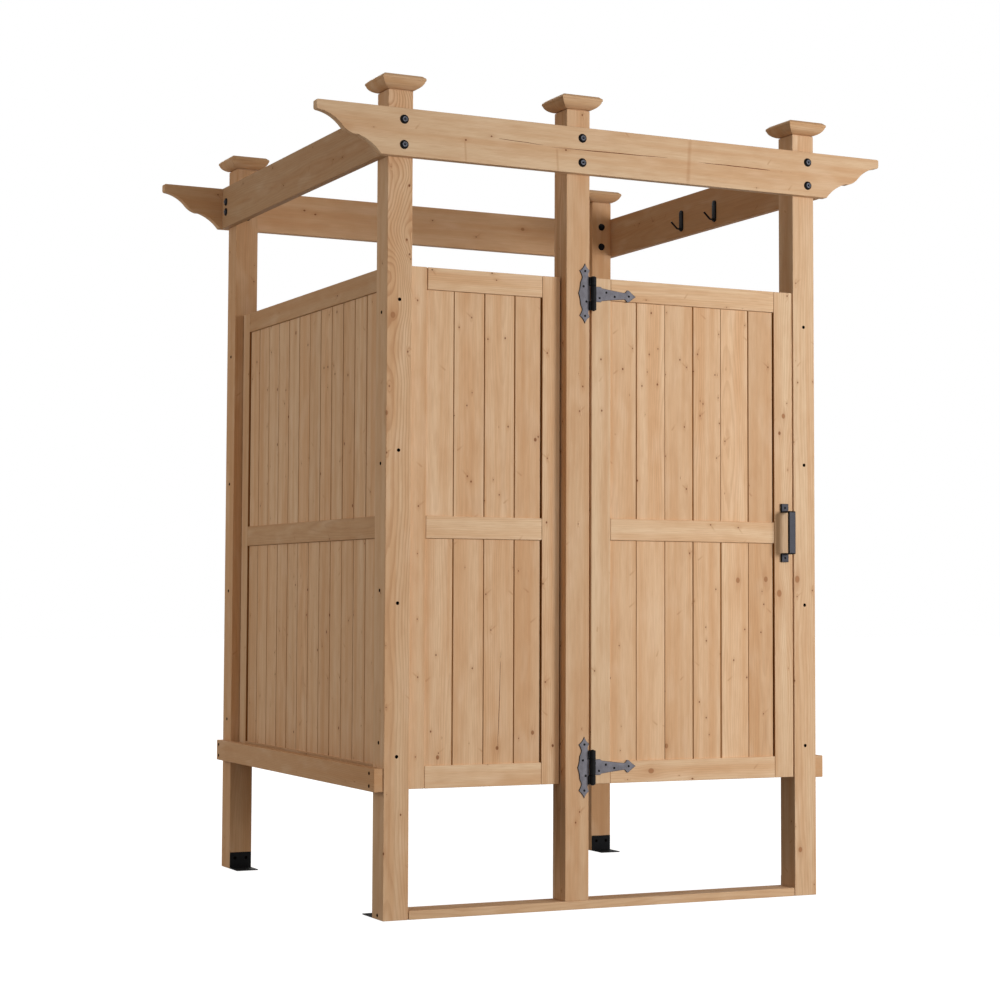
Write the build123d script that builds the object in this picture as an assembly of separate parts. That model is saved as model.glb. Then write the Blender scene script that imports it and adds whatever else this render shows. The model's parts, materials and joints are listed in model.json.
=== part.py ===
from build123d import *
import os
from math import sqrt

os.makedirs("parts", exist_ok=True)

# Outdoor shower enclosure: a square timber frame on five posts, closed by boarded panels, with one door.
# Millimetres. +X is to the right as one faces the door, +Y runs from the front to the back, +Z is up.
# The origin is on the ground, at the middle of everything that the enclosure covers.

# Posts and the plan.
post = 80.0                  # side of a square post
width = 1495.0               # over the outer faces of the corner posts, left to right
depth = 1405.0               # over the outer faces of the corner posts, front to back
fixed_bay = 514.0            # clear width between the front left post and the hinge post
post_top = 2423.5            # where the posts end, under their caps

# Post caps: a flat top, a sloped edge, a narrow fascia and a hollow-backed swell down to the post.
cap_width = 139.0
cap_flat_width = 121.0       # the level top, inside the sloped edge
cap_neck = 82.0              # width of the cap where it meets the post
cap_height = 42.0
cap_slope_height = 8.0
cap_fascia_height = 5.0

# Upper beams, with scalloped ends at the front and the back.
beam_below_post_top = 58.5
beam_height = 142.0
beam_thickness = 26.5        # front and back beams
side_beam_thickness = 24.5
beam_overhang = 237.5        # beyond the outer face of a corner post
beam_nose = 28.5             # height of the blunt tip
scallop_run = 203.5          # from the tip to where the underside is level

# A scalloped end's outline: distances from the tip, and depths below the beam's top.
upper_scallop_middle = (49.5, 43.5)
scallop_turn = (83.0, 71.5)
scallop_turn_middle = (99.0, 84.0)
shoulder_start = (118.0, 91.5)
shoulder_end = (130.0, 91.5)
lower_scallop_middle = (167.0, 108.5)

# Lower rails outside the panels, and the plate under the front.
lower_rail_height = 68.0
lower_rail_thickness = 29.0
lower_rail_bottom = 369.0
lower_rail_front_inset = 4.0
lower_rail_back_inset = 20.0
plate_height = 25.5

# Panels: stiles and rails around tongued boards.
panel_thickness = 26.0
panel_top = 1910.0
panel_bottom = 372.5
panel_stile = 64.0
rail_height = 66.0
mid_rail_middle = 1139.0     # height of the middle of the mid rail
side_panel_recess = 30.0     # behind the outer faces of the posts
front_panel_recess = 33.0
board_thickness = 10.0
board_recess = 9.0           # of the boards' outer face, behind the face of the frame
groove_width = 5.0           # of the V between two boards
groove_depth = 2.5
board_pitch = 101.5          # in the front, the back and the door
side_board_pitch = 93.8
fixed_panel_boards = 4
door_boards = 6
side_panel_boards = 12
back_panel_boards = 12

# Door, hung on the hinge post.
door_stile = 68.0
door_hinge_gap = 6.0
door_latch_gap = 5.0
door_mid_rail_middle = 1142.0

# T-hinges.
hinge_inset = 50.0           # of a hinge's middle from the door's top or bottom edge
hinge_iron = 3.0             # thickness of the plate and of the strap
barrel_radius = 9.0
barrel_length = 102.0
barrel_standoff = 1.0        # between the barrel and the door's face
barrel_offset = 8.0          # of the axis from the hinge post's right face
pin_radius = 3.5
pin_clearance = 0.3
knuckle_gap = 0.5
plate_width = 40.0
plate_length = 184.0
plate_corner = 69.0          # height above the hinge's middle of the corners of the plate's pointed ends
plate_neck = 50.0            # of the narrow place under them
plate_shoulder = 34.0
knuckle_arm = 6.0            # how far the arms of the outer knuckles reach over the plate
strap_length = 153.0         # from the axis to the tip
strap_root = 47.0            # height of the strap beside the barrel
strap_root_length = 29.0
strap_neck = 20.0
strap_neck_at = 114.0        # from the axis
spear_height = 38.0
spear_at = 125.0

# Pull handle.
handle_foot = 26.0           # side of a square foot
handle_foot_thickness = 8.0
handle_spacing = 158.5       # between the middles of the feet
handle_bar_width = 24.0
handle_bar_thickness = 9.0
handle_reach = 49.0          # from the door's face to the bar's front
handle_bar_length = 136.0
handle_leg_root = 10.0       # height of a leg where it leaves its foot
handle_edge_distance = 33.0  # from the door's latch edge to the handle's middle

# Robe hooks on the right beam.
hook_height = 75.0           # of the back plate, which has round ends
hook_width = 22.0
hook_iron = 5.0
hook_spacing = 219.0
hook_above_beam_bottom = 17.0
hook_prong_radius = 3.2
hook_prong_root = 8.0        # of the prong's root above the bottom of the back plate
hook_prong_straight = 9.0    # straight run out of the back plate
hook_prong_bend = 12.0       # radius of its bend
hook_prong_tilt = 43.0       # degrees that it turns up
hook_prong_length = 29.0     # past the bend

# Foot brackets.
bracket_leg = 55.0
bracket_flange = 75.0
bracket_width = 76.0
bracket_iron = 3.0
anchor_hole_radius = 4.0
anchor_hole_distance = 45.0  # from the post's face

# Places that follow from the sizes above.
cap_overhang = (cap_width - post) / 2
x_left = -width / 2
x_right = width / 2
y_front = (handle_reach - cap_overhang - depth) / 2
y_back = y_front + depth
beam_top = post_top - beam_below_post_top
beam_bottom = beam_top - beam_height
x_hinge_post = x_left + post + fixed_bay
x_door_left = x_hinge_post + post + door_hinge_gap
x_door_right = x_right - post - door_latch_gap
hinge_x = x_hinge_post + post + barrel_offset
hinge_y = y_front - barrel_radius - barrel_standoff
hinge_heights = {"top": panel_top - hinge_inset, "bottom": panel_bottom + hinge_inset}


def save(node, solids):
    """Write one node, which is one solid or several that don't touch."""
    solids = solids if isinstance(solids, list) else [solids]
    shape = solids[0] if len(solids) == 1 else Compound(children=solids)
    shape.label = node
    export_step(shape, f"parts/{node}.step")


def block(x, y, z):
    """A straight piece between low and high values along each axis."""
    size = [high - low for low, high in (x, y, z)]
    middle = [(high + low) / 2 for low, high in (x, y, z)]
    return Pos(*middle) * Box(*size)


def in_wall(along, run, through, z):
    """A piece of a wall that runs along X or Y: its run, its place through the wall and its height."""
    return block(run, through, z) if along == "x" else block(through, run, z)


def upright_prism(points, z):
    """An outline in plan, raised between two heights."""
    face = make_face(Polyline(*points, close=True))
    return Pos(0, 0, z[0]) * extrude(face, z[1] - z[0])


def make_posts_and_caps():
    corners = {
        "front_left": (x_left, y_front, 0.0),
        "hinge": (x_hinge_post, y_front, plate_height),
        "front_right": (x_right - post, y_front, 0.0),
        "back_left": (x_left, y_back - post, 0.0),
        "back_right": (x_right - post, y_back - post, 0.0),
    }
    for name, (x, y, foot) in corners.items():
        save(f"post_{name}", block((x, x + post), (y, y + post), (foot, post_top)))
        save(f"cap_{name}", Pos(x + post / 2, y + post / 2, post_top) * post_cap())


def post_cap():
    """Square levels from the post up: a swelling underside, a fascia and a sloped edge."""
    swell_top = cap_height - cap_slope_height - cap_fascia_height
    levels = []
    for share in (0.0, 0.3, 0.55, 0.75, 0.9, 1.0):
        rise = 0.75 * (1 - sqrt(1 - share**2)) + 0.25 * share
        levels.append((swell_top * rise, cap_neck + (cap_width - cap_neck) * share))
    levels += [(cap_height - cap_slope_height, cap_width), (cap_height, cap_flat_width)]
    squares = [Pos(0, 0, z) * Rectangle(side, side) for z, side in levels]
    return loft([square.face() for square in squares], ruled=True)


def long_beam(y):
    """The front or back beam, cut to two scallops under each end."""
    def end_point(from_tip, depth):
        return (x_left - beam_overhang + from_tip, beam_top - depth)

    top = end_point(0, 0)
    nose = end_point(0, beam_nose)
    turn = end_point(*scallop_turn)
    shoulder = (end_point(*shoulder_start), end_point(*shoulder_end))
    underside = end_point(scallop_run, beam_height)
    half = [
        Line((0, beam_top), top),
        Line(top, nose),
        ThreePointArc(nose, end_point(*upper_scallop_middle), turn),
        ThreePointArc(turn, end_point(*scallop_turn_middle), shoulder[0]),
        Line(*shoulder),
        ThreePointArc(shoulder[1], end_point(*lower_scallop_middle), underside),
        Line(underside, (0, beam_bottom)),
        Line((0, beam_bottom), (0, beam_top)),
    ]
    left = extrude(Plane.XZ.offset(-y[1]) * make_face(half), y[1] - y[0])
    return left + mirror(left, about=Plane.YZ)


def make_beams():
    heights = (beam_bottom, beam_top)
    save("front_beam", long_beam((y_front - beam_thickness, y_front)))
    save("back_beam", long_beam((y_back, y_back + beam_thickness)))
    save("left_beam", block((x_left - side_beam_thickness, x_left), (y_front, y_back), heights))
    save("right_beam", block((x_right, x_right + side_beam_thickness), (y_front, y_back), heights))


def make_lower_rails():
    heights = (lower_rail_bottom, lower_rail_bottom + lower_rail_height)
    run = (y_front + lower_rail_front_inset, y_back - lower_rail_back_inset)
    save("left_lower_rail", block((x_left - lower_rail_thickness, x_left), run, heights))
    save("right_lower_rail", block((x_right, x_right + lower_rail_thickness), run, heights))
    save("bottom_plate", block((x_left + post, x_right - post), (y_front, y_front + post), (0, plate_height)))


def board_tier(along, run, outer, inward, z, count, pitch):
    """One tier of tongued boards, with a V on both faces at each joint between two boards."""
    middle = (run[0] + run[1]) / 2
    joints = [middle + pitch * (i - (count - 2) / 2) for i in range(count - 1)]
    near = outer + inward * board_recess
    far = near + inward * board_thickness
    half = groove_width / 2
    cut = inward * groove_depth
    edge = [(run[0], near)]
    for u in joints:
        edge += [(u - half, near), (u, near + cut), (u + half, near)]
    edge += [(run[1], near), (run[1], far)]
    for u in reversed(joints):
        edge += [(u + half, far), (u, far - cut), (u - half, far)]
    edge.append((run[0], far))
    points = edge if along == "x" else [(w, u) for u, w in edge]
    return upright_prism(points, z)


def make_panel(name, along, run, outer, inward, stile, mid, count, pitch):
    """A framed panel: run along the wall, its outer face and the direction from there to the inside."""
    through = tuple(sorted((outer, outer + inward * panel_thickness)))
    inner = (run[0] + stile, run[1] - stile)
    stiles = [(run[0], inner[0]), (inner[1], run[1])]
    rails = [
        (panel_bottom, panel_bottom + rail_height),
        (mid - rail_height / 2, mid + rail_height / 2),
        (panel_top - rail_height, panel_top),
    ]
    tiers = [(rails[0][1], rails[1][0]), (rails[1][1], rails[2][0])]
    save(f"{name}_stiles", [in_wall(along, s, through, (panel_bottom, panel_top)) for s in stiles])
    save(f"{name}_rails", [in_wall(along, inner, through, z) for z in rails])
    save(f"{name}_boards", [board_tier(along, inner, outer, inward, z, count, pitch) for z in tiers])


def make_panels():
    side_run = (y_front + post, y_back - post)
    make_panel("front_panel", "x", (x_left + post, x_hinge_post), y_front + front_panel_recess, 1,
               panel_stile, mid_rail_middle, fixed_panel_boards, board_pitch)
    make_panel("left_panel", "y", side_run, x_left + side_panel_recess, 1,
               panel_stile, mid_rail_middle, side_panel_boards, side_board_pitch)
    make_panel("right_panel", "y", side_run, x_right - side_panel_recess, -1,
               panel_stile, mid_rail_middle, side_panel_boards, side_board_pitch)
    make_panel("back_panel", "x", (x_left + post, x_right - post), y_back - side_panel_recess, -1,
               panel_stile, mid_rail_middle, back_panel_boards, board_pitch)
    make_panel("door", "x", (x_door_left, x_door_right), y_front, 1,
               door_stile, door_mid_rail_middle, door_boards, board_pitch)


def front_iron(points, z_middle, x_origin):
    """A flat iron shape on the front faces, from points that run sideways and up from the hinge."""
    placed = [(x_origin + x, z_middle + z) for x, z in points]
    face = make_face(Polyline(*placed, close=True))
    return extrude(Plane.XZ.offset(-y_front) * face, hinge_iron)


def knuckle(z_low, z_high, radius):
    return Pos(hinge_x, hinge_y, (z_low + z_high) / 2) * Cylinder(radius, z_high - z_low)


def hinge_plate(z):
    """The upright plate on the hinge post, with the outer knuckles and the pin."""
    edge = x_hinge_post + post
    half = plate_length / 2
    upper = [
        (0, plate_neck - 2), (-plate_width * 0.16, plate_neck + 4), (0, plate_corner),
        (-plate_width * 0.43, half), (-plate_width * 0.93, plate_corner),
        (-plate_width * 0.69, plate_neck), (-plate_width * 0.83, plate_shoulder),
        (-plate_width * 0.86, plate_shoulder / 2), (-plate_width, 0),
    ]
    lower = [(x, -height) for x, height in reversed(upper[:-1])]
    shape = front_iron(upper + lower, z, edge)
    inner = strap_root / 2 + knuckle_gap
    outer = barrel_length / 2
    for low, high in ((z + inner, z + outer), (z - outer, z - inner)):
        arm = block((edge - knuckle_arm, hinge_x), (hinge_y, y_front - hinge_iron / 2), (low, high))
        shape += arm + knuckle(low, high, barrel_radius)
    return shape + knuckle(z - outer, z + outer, pin_radius)


def hinge_strap(z):
    """The strap on the door, with the middle knuckle."""
    upper = [
        (-door_hinge_gap / 3, strap_root / 2), (strap_root_length, strap_root / 2),
        (strap_root_length + hinge_iron, strap_root / 2 - hinge_iron), (strap_neck_at, strap_neck / 2),
        (spear_at, spear_height / 2), (strap_length, 0),
    ]
    lower = [(x, -height) for x, height in reversed(upper[:-1])]
    shape = front_iron(upper + lower, z, hinge_x)
    shape += knuckle(z - strap_root / 2, z + strap_root / 2, barrel_radius)
    return shape - knuckle(z - strap_root, z + strap_root, pin_radius + pin_clearance)


def make_hinges():
    for name, z in hinge_heights.items():
        save(f"{name}_hinge_plate", hinge_plate(z))
        save(f"{name}_hinge_strap", hinge_strap(z))


def make_handle():
    """Two square feet, a sloping leg from each, and an upright bar between them."""
    x = x_door_right - handle_edge_distance
    z = door_mid_rail_middle
    foot_half = handle_foot / 2
    bar_half = handle_bar_width / 2
    bar_front = y_front - handle_reach
    bar_back = bar_front + handle_bar_thickness
    foot_front = y_front - handle_foot_thickness
    shape = block((x - bar_half, x + bar_half), (bar_front, bar_back),
                  (z - handle_bar_length / 2, z + handle_bar_length / 2))
    for side in (-1, 1):
        foot_z = z + side * handle_spacing / 2
        end_z = z + side * handle_bar_length / 2
        shape += block((x - foot_half, x + foot_half), (foot_front, y_front),
                       (foot_z - foot_half, foot_z + foot_half))
        leg = Polyline((foot_front, foot_z - side * handle_leg_root / 2),
                       (foot_front, foot_z + side * handle_leg_root / 2),
                       (bar_front, end_z), (bar_back, end_z - side * handle_bar_thickness), close=True)
        shape += extrude(Plane.YZ.offset(x - bar_half) * make_face(leg), handle_bar_width)
    save("door_handle", shape)


def robe_hook(y):
    """A back plate on the right beam's inner face, and a prong that comes out of its foot and turns up."""
    bottom = beam_bottom + hook_above_beam_bottom
    outline = Pos(y, bottom + hook_height / 2) * SlotOverall(hook_height, hook_width, rotation=90)
    plate = extrude(Plane.YZ.offset(x_right - hook_iron) * outline, hook_iron)
    start = (x_right - hook_iron / 2, bottom + hook_prong_root)
    bend_start = (x_right - hook_iron - hook_prong_straight, start[1])
    straight = Line(start, bend_start)
    bend = JernArc(bend_start, (-1, 0), hook_prong_bend, -hook_prong_tilt)
    tail = Line(bend @ 1, (bend @ 1) + (bend % 1) * hook_prong_length)
    path = Plane.XZ.offset(-y) * Wire([straight, bend, tail])
    section = Plane(path @ 0, z_dir=path % 0) * Circle(hook_prong_radius)
    return plate + sweep(section, path=path)


def make_hooks():
    middle = (y_front + y_back) / 2
    save("robe_hooks", [robe_hook(middle + side * hook_spacing / 2) for side in (-1, 1)])


def foot_bracket(x_middle, y_face, outward):
    """An L of flat iron in the angle between a post's inner face and the ground."""
    x = (x_middle - bracket_width / 2, x_middle + bracket_width / 2)
    leg = tuple(sorted((y_face, y_face + outward * bracket_iron)))
    flange = tuple(sorted((y_face, y_face + outward * bracket_flange)))
    shape = block(x, leg, (0, bracket_leg)) + block(x, flange, (0, bracket_iron))
    hole = Pos(x_middle, y_face + outward * anchor_hole_distance, bracket_iron / 2)
    return shape - hole * Cylinder(anchor_hole_radius, bracket_iron * 2)


def make_foot_brackets():
    for side, x in (("left", x_left + post / 2), ("right", x_right - post / 2)):
        save(f"bracket_front_{side}", foot_bracket(x, y_front + post, 1))
        save(f"bracket_back_{side}", foot_bracket(x, y_back - post, -1))


make_posts_and_caps()
make_beams()
make_lower_rails()
make_panels()
make_hinges()
make_handle()
make_hooks()
make_foot_brackets()
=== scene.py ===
import json
import math
import random
from functools import partial, reduce

import bmesh
import bpy
from mathutils import Matrix, Vector


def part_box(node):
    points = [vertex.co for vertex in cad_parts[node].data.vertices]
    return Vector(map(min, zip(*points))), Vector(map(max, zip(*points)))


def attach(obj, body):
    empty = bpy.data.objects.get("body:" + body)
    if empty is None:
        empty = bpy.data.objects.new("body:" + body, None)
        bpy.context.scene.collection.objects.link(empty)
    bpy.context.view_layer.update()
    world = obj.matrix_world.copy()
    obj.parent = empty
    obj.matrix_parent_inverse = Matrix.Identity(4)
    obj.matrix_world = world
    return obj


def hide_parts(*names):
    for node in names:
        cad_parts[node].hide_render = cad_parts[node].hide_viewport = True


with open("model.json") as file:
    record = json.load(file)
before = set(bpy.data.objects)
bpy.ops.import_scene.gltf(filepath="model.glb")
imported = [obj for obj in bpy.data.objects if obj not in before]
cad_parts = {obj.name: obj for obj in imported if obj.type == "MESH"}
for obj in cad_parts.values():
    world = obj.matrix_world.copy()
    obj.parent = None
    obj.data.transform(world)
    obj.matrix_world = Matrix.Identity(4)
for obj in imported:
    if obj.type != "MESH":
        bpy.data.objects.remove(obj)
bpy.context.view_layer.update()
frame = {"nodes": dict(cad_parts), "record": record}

# Sizes in metres, where the frame doesn't give them.
EASED_EDGE = 0.0018          # the small rounding on every timber's edges
BOARD_EDGE = 0.003           # the slope on each side of a V between two boards
BOARD_PITCH = {"front_panel": 0.1015, "back_panel": 0.1015, "door": 0.1015,
               "left_panel": 0.0938, "right_panel": 0.0938}
TONGUE = 0.0035              # thickness of the tongue in the middle of a board's edge
WELD = 0.00002
NO_WIDTH = 0.00001           # these two keep a division safe where there is no knot or line
NO_RUN = 0.001

BEAM_NOSE = 0.0285
NOSE_ROUNDING = 0.006
SCALLOP_RUN = 0.2035
UPPER_SCALLOP_MIDDLE = (0.0495, 0.0435)
SCALLOP_TURN = (0.083, 0.0715)
SCALLOP_TURN_MIDDLE = (0.099, 0.084)
SHOULDER_START = (0.118, 0.0915)
SHOULDER_END = (0.130, 0.0915)
LOWER_SCALLOP_MIDDLE = (0.167, 0.1085)

# The softwood's figure.
KNOT_SLOTS = 8               # knots given one by one that one timber can carry
LINE_SLOTS = 6               # checks and branch marks that one timber can carry
BRANCH_HALF_WIDTH = 0.0025   # a wider line is a branch, a thinner one a check
KNOT_SHAPE = (1.0, 1.0, 0.8)
BROAD_KNOT_RADII = (0.004, 0.0065)   # from one to the other a knot turns from dark to pale
PULL_SHAPE = (1.0, 1.0, 0.5)
KNOT_PULL = 0.85             # how far a knot draws the grain round itself
KNOT_FALL = 0.16             # and how fast that fades
PIN_SPREAD = (14.0, 10.0)    # scattered small knots on a face, to the metre, across the grain and along it
PIN_RADII = (0.001, 0.0027)
PIN_HALO = 0.42              # a small knot's halo is longer than it is wide
PIN_PUSH = 0.0045            # how far a small knot pushes the rings out
STREAKS_TO_PINS = 1.8
STREAK_SIDES = (0.0004, 0.0042)      # where a streak fades, in metres from the knot
STREAK_START = (0.0, 0.004)
STREAK_END = (0.008, 0.032)
PITH_DISTANCE = (0.055, 0.13)
LOG_LENGTH = 40
FACE_SPREAD = 60             # faces' layouts are taken from a sheet of this size
FACES_APART = 3.3
SIDES_APART = 1.7
RINGS = 240.0                # growth rings to the metre
RING_SHAKE = 0.003
WANDER = 0.05                # how far the middle line of the log swings
CURL = 0.06                  # how far the grain curls, where the rings show most
CURLY_FIGURES = (0.34, 0.42)
SHAKE = 0.005                # how unsteady the line of a check is
# Noises in the log, to the metre: across the grain both ways, and along it.
WANDER_SCALE = (2.0, 2.0, 1.0)
CURL_SCALE = (6.0, 6.0, 5.0)
BAND_SCALE = (30.0, 30.0, 0.9)
# Noises on a face, to the metre: across the grain, and along it.
MOTTLE_SCALE = (34.0, 9.0, 0.0)
FIBRE_SCALE = (620.0, 11.0, 0.0)
CLOUD_SCALE = (17.0, 5.0, 0.0)

# The photograph's camera.
CAMERA_PLACE = (-3.2494, -6.4559, 0.9249)
CAMERA_YAW = 24.842
CAMERA_PITCH = 3.351
CAMERA_ROLL = 0.325
FOCAL_PIXELS = 2162.9
OPTICAL_CENTRE = (437.7, 473.0)
PICTURE = 1000
SENSOR = 36.0

EVEN_LIGHT = 0.29
EVEN_TINT = (1.0, 0.91, 0.82, 1.0)
WHITE = (1.0, 1.0, 1.0, 1.0)
FLOOR_REACH = 40.0
FLOOR_GREY = (0.28, 0.28, 0.28, 1.0)
FLOOR_GLOW = 0.97

WALL_GRAIN = {"x": Matrix(((0, 1, 0), (0, 0, 1), (1, 0, 0))).to_4x4(),
              "y": Matrix(((0, 0, 1), (1, 0, 0), (0, 1, 0))).to_4x4(),
              "z": Matrix.Identity(4)}


def axis_index(axis):
    return "xyz".index(axis)


# Finishes.

class Finish:
    """A material, with short calls for the nodes that the finishes are made from."""

    def __init__(self, name, **surface):
        self.material = bpy.data.materials.new(name)
        self.material.use_nodes = True
        self.tree = self.material.node_tree
        self.shader = self.tree.nodes["Principled BSDF"]
        for socket, value in surface.items():
            self.feed(self.shader.inputs[socket.replace("_", " ")], value)

    def feed(self, socket, value):
        if isinstance(value, bpy.types.NodeSocket):
            self.tree.links.new(value, socket)
        else:
            socket.default_value = value

    def node(self, kind, inputs, out=0, **settings):
        made = self.tree.nodes.new(kind)
        for key, value in settings.items():
            setattr(made, key, value)
        for key, value in inputs.items():
            self.feed(made.inputs[key], value)
        return made.outputs[out]

    def attribute(self, name, out="Vector"):
        return self.node("ShaderNodeAttribute", {}, out, attribute_name=name)

    def math(self, operation, a, b=0.0, clamp=False):
        return self.node("ShaderNodeMath", {0: a, 1: b}, operation=operation, use_clamp=clamp)

    def vector(self, operation, a, b=(0.0, 0.0, 0.0)):
        out = "Value" if operation == "LENGTH" else "Vector"
        return self.node("ShaderNodeVectorMath", {0: a, 1: b}, out, operation=operation)

    def scaled(self, vector, factor):
        return self.node("ShaderNodeVectorMath", {0: vector, 3: factor}, "Vector", operation="SCALE")

    def noise(self, vector, detail=2.0, roughness=0.5, out=0):
        inputs = {"Vector": vector, "Scale": 1.0, "Detail": detail, "Roughness": roughness}
        return self.node("ShaderNodeTexNoise", inputs, out)

    def swing(self, noise, size):
        """A noise's colour as a shift across the grain, of up to half a size each way."""
        shift = self.vector("MULTIPLY_ADD", noise, (size, size, 0.0))
        shift.node.inputs[2].default_value = (-size / 2, -size / 2, 0.0)
        return shift

    def highest(self, *values):
        return reduce(partial(self.math, "MAXIMUM"), values)

    def product(self, *values):
        return reduce(partial(self.math, "MULTIPLY"), values)

    def step(self, value, low, high, start=0.0, end=1.0):
        """A smooth rise from start, where value is low, to end, where it is high."""
        inputs = {0: value, 1: low, 2: high, 3: start, 4: end}
        return self.node("ShaderNodeMapRange", inputs, interpolation_type="SMOOTHSTEP")

    def mix(self, factor, a, b, blend="MIX"):
        inputs = {0: factor, 6: a, 7: b}
        return self.node("ShaderNodeMix", inputs, 2, data_type="RGBA", blend_type=blend)

    def bump(self, height, strength, distance):
        inputs = {"Height": height, "Strength": strength, "Distance": distance}
        return self.node("ShaderNodeBump", inputs)


def colour(red, green, blue):
    """A display colour of three values up to 255, as the linear colour that a shader takes."""
    def linear(value):
        share = value / 255
        return share / 12.92 if share <= 0.04045 else ((share + 0.055) / 1.055) ** 2.4

    return (linear(red), linear(green), linear(blue), 1.0)


WARM_WOOD_AND_PAINTED_SHADE = colour(202, 148, 98)
MOTTLED_WOOD = colour(190, 140, 96)
CLOUDED_WOOD = colour(236, 206, 172)
LATE_WOOD = colour(160, 104, 62)
FIBRE_WOOD = colour(176, 130, 90)
BRANCH_WOOD = colour(168, 110, 64)
SMALL_KNOT = colour(112, 62, 30)
BROAD_KNOT = colour(184, 134, 94)
CHECK_BROWN = colour(112, 66, 38)
GROOVE_SHADE_TINT = (1.0, 0.86, 0.6, 1.0)
GROOVE_SHADE_LIGHTNESS = (0.62, 0.72)      # wood painted darker than this, in a groove, is painted warmer too, as shade
FIBRE_RELIEF = (0.3, 0.0005)


def softwood(name, pale, pink, roughness):
    """Planed softwood. log_place is a place in the log, whose middle line is Z, and the UV map
    timber_face is a place on the timber's own face in metres, with the grain along V."""
    finish = Finish(name, Roughness=roughness, Specular_IOR_Level=0.05)
    place = finish.attribute("log_place")
    face = finish.node("ShaderNodeUVMap", {}, uv_map="timber_face")
    # The tone attribute holds lightness, pinkness, figure and how often small knots lie. Lightness and
    # pinkness are the wood's own tone, and also carry painted shade: lower and warmer in grooves and on
    # timbers in shade.
    tone = finish.attribute("timber_tone_and_painted_shade", "Color").node
    tones = finish.node("ShaderNodeSeparateColor", {0: tone.outputs["Color"]}).node
    lightness, pinkness, figure = tones.outputs
    mottle = finish.noise(finish.vector("MULTIPLY", face, MOTTLE_SCALE), 3.0, 0.55).node

    # Small knots, scattered over each face.
    spread = finish.vector("MULTIPLY", face, (*PIN_SPREAD, 0.0))
    cell = finish.node("ShaderNodeTexVoronoi", {"Vector": spread, "Scale": 1.0, "Randomness": 1.0},
                       "Distance", voronoi_dimensions="2D").node
    chance = finish.node("ShaderNodeSeparateColor", {0: cell.outputs["Color"]}).node
    from_pin = finish.vector("SUBTRACT", spread, cell.outputs["Position"])
    from_pin = finish.vector("MULTIPLY", from_pin, (1 / PIN_SPREAD[0], 1 / PIN_SPREAD[1], 0.0))
    pin_reach = finish.vector("LENGTH", finish.vector("MULTIPLY", from_pin, (1.0, 0.8, 0.0)))
    pin_radius = finish.step(chance.outputs[1], 0.0, 1.0, *PIN_RADII)
    there = finish.math("LESS_THAN", chance.outputs[0], tone.outputs["Alpha"])
    pin_share = finish.math("DIVIDE", pin_reach, pin_radius)
    pins = finish.product(finish.step(pin_share, 0.4, 1.3, 1.0, 0.0), there)
    around_pin = finish.vector("LENGTH", finish.vector("MULTIPLY", from_pin, (1.0, PIN_HALO, 0.0)))
    around_pin = finish.math("DIVIDE", around_pin, pin_radius)
    pin_halo = finish.product(finish.step(around_pin, 0.6, 4.0, 1.0, 0.0), there)

    # A short slanting streak beside some of them, where a branch lies along the face.
    slant = finish.step(chance.outputs[2], 0.35, 0.65, -0.9, 0.9)
    turned = finish.node("ShaderNodeVectorRotate", {"Vector": from_pin, "Angle": slant},
                         rotation_type="Z_AXIS")
    beside = finish.node("ShaderNodeSeparateXYZ", {0: turned}).node
    often = finish.product(tone.outputs["Alpha"], STREAKS_TO_PINS)
    often = finish.math("LESS_THAN", chance.outputs[0], often)
    streak = finish.product(
        finish.step(finish.math("ABSOLUTE", beside.outputs[0]), *STREAK_SIDES, 1.0, 0.0),
        finish.step(beside.outputs[1], *STREAK_START),
        finish.step(beside.outputs[1], *STREAK_END, 1.0, 0.0),
        finish.product(often, finish.step(chance.outputs[1], 0.5, 0.6)))

    # Knots given one by one: the grain bends round each of them.
    bent = place
    knots = 0.0
    broad = 0.0
    halo = 0.0
    for slot in range(KNOT_SLOTS):
        knot = finish.attribute(f"knot_{slot}", "Color")
        radius = finish.highest(knot.node.outputs["Alpha"], NO_WIDTH)
        offset = finish.vector("SUBTRACT", place, knot)
        reach = finish.vector("LENGTH", finish.vector("MULTIPLY", offset, KNOT_SHAPE))
        share = finish.math("DIVIDE", reach, radius)
        far = finish.vector("LENGTH", finish.vector("MULTIPLY", offset, PULL_SHAPE))
        far = finish.math("DIVIDE", far, radius)
        pull = finish.math("EXPONENT", finish.product(far, far, -KNOT_FALL))
        bent = finish.vector("SUBTRACT", bent, finish.scaled(offset, finish.product(pull, KNOT_PULL)))
        spot = finish.step(share, 0.6, 1.2, 1.0, 0.0)
        knots = finish.highest(knots, spot)
        wide = finish.step(radius, *BROAD_KNOT_RADII)
        broad = finish.highest(broad, finish.product(spot, wide))
        halo = finish.highest(halo, pull)

    # Growth rings round a middle line that wanders along the log.
    wander = finish.swing(finish.noise(finish.vector("MULTIPLY", place, WANDER_SCALE), 2.0, out=1), WANDER)
    curl = finish.swing(finish.noise(finish.vector("MULTIPLY", place, CURL_SCALE), 1.0, out=1), CURL)
    wander = finish.vector("ADD", wander, finish.scaled(curl, finish.step(figure, *CURLY_FIGURES)))
    flat = finish.vector("MULTIPLY", finish.vector("ADD", bent, wander), (1.0, 1.0, 0.0))
    from_pith = finish.vector("LENGTH", flat)
    from_pith = finish.math("ADD", from_pith, finish.product(pin_halo, PIN_PUSH))
    from_pith = finish.math("ADD", from_pith, finish.product(mottle.outputs[0], RING_SHAKE))
    ring = finish.math("FRACT", finish.product(from_pith, RINGS))
    late = finish.product(finish.step(ring, 0.35, 0.9), finish.step(ring, 0.92, 1.0, 1.0, 0.0))
    bands = finish.noise(finish.vector("MULTIPLY", bent, BAND_SCALE), 3.0, 0.55)
    fibres = finish.noise(finish.vector("MULTIPLY", face, FIBRE_SCALE), 2.0, 0.65)
    cloud = finish.noise(finish.vector("MULTIPLY", face, CLOUD_SCALE), 2.0, 0.5)

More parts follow.
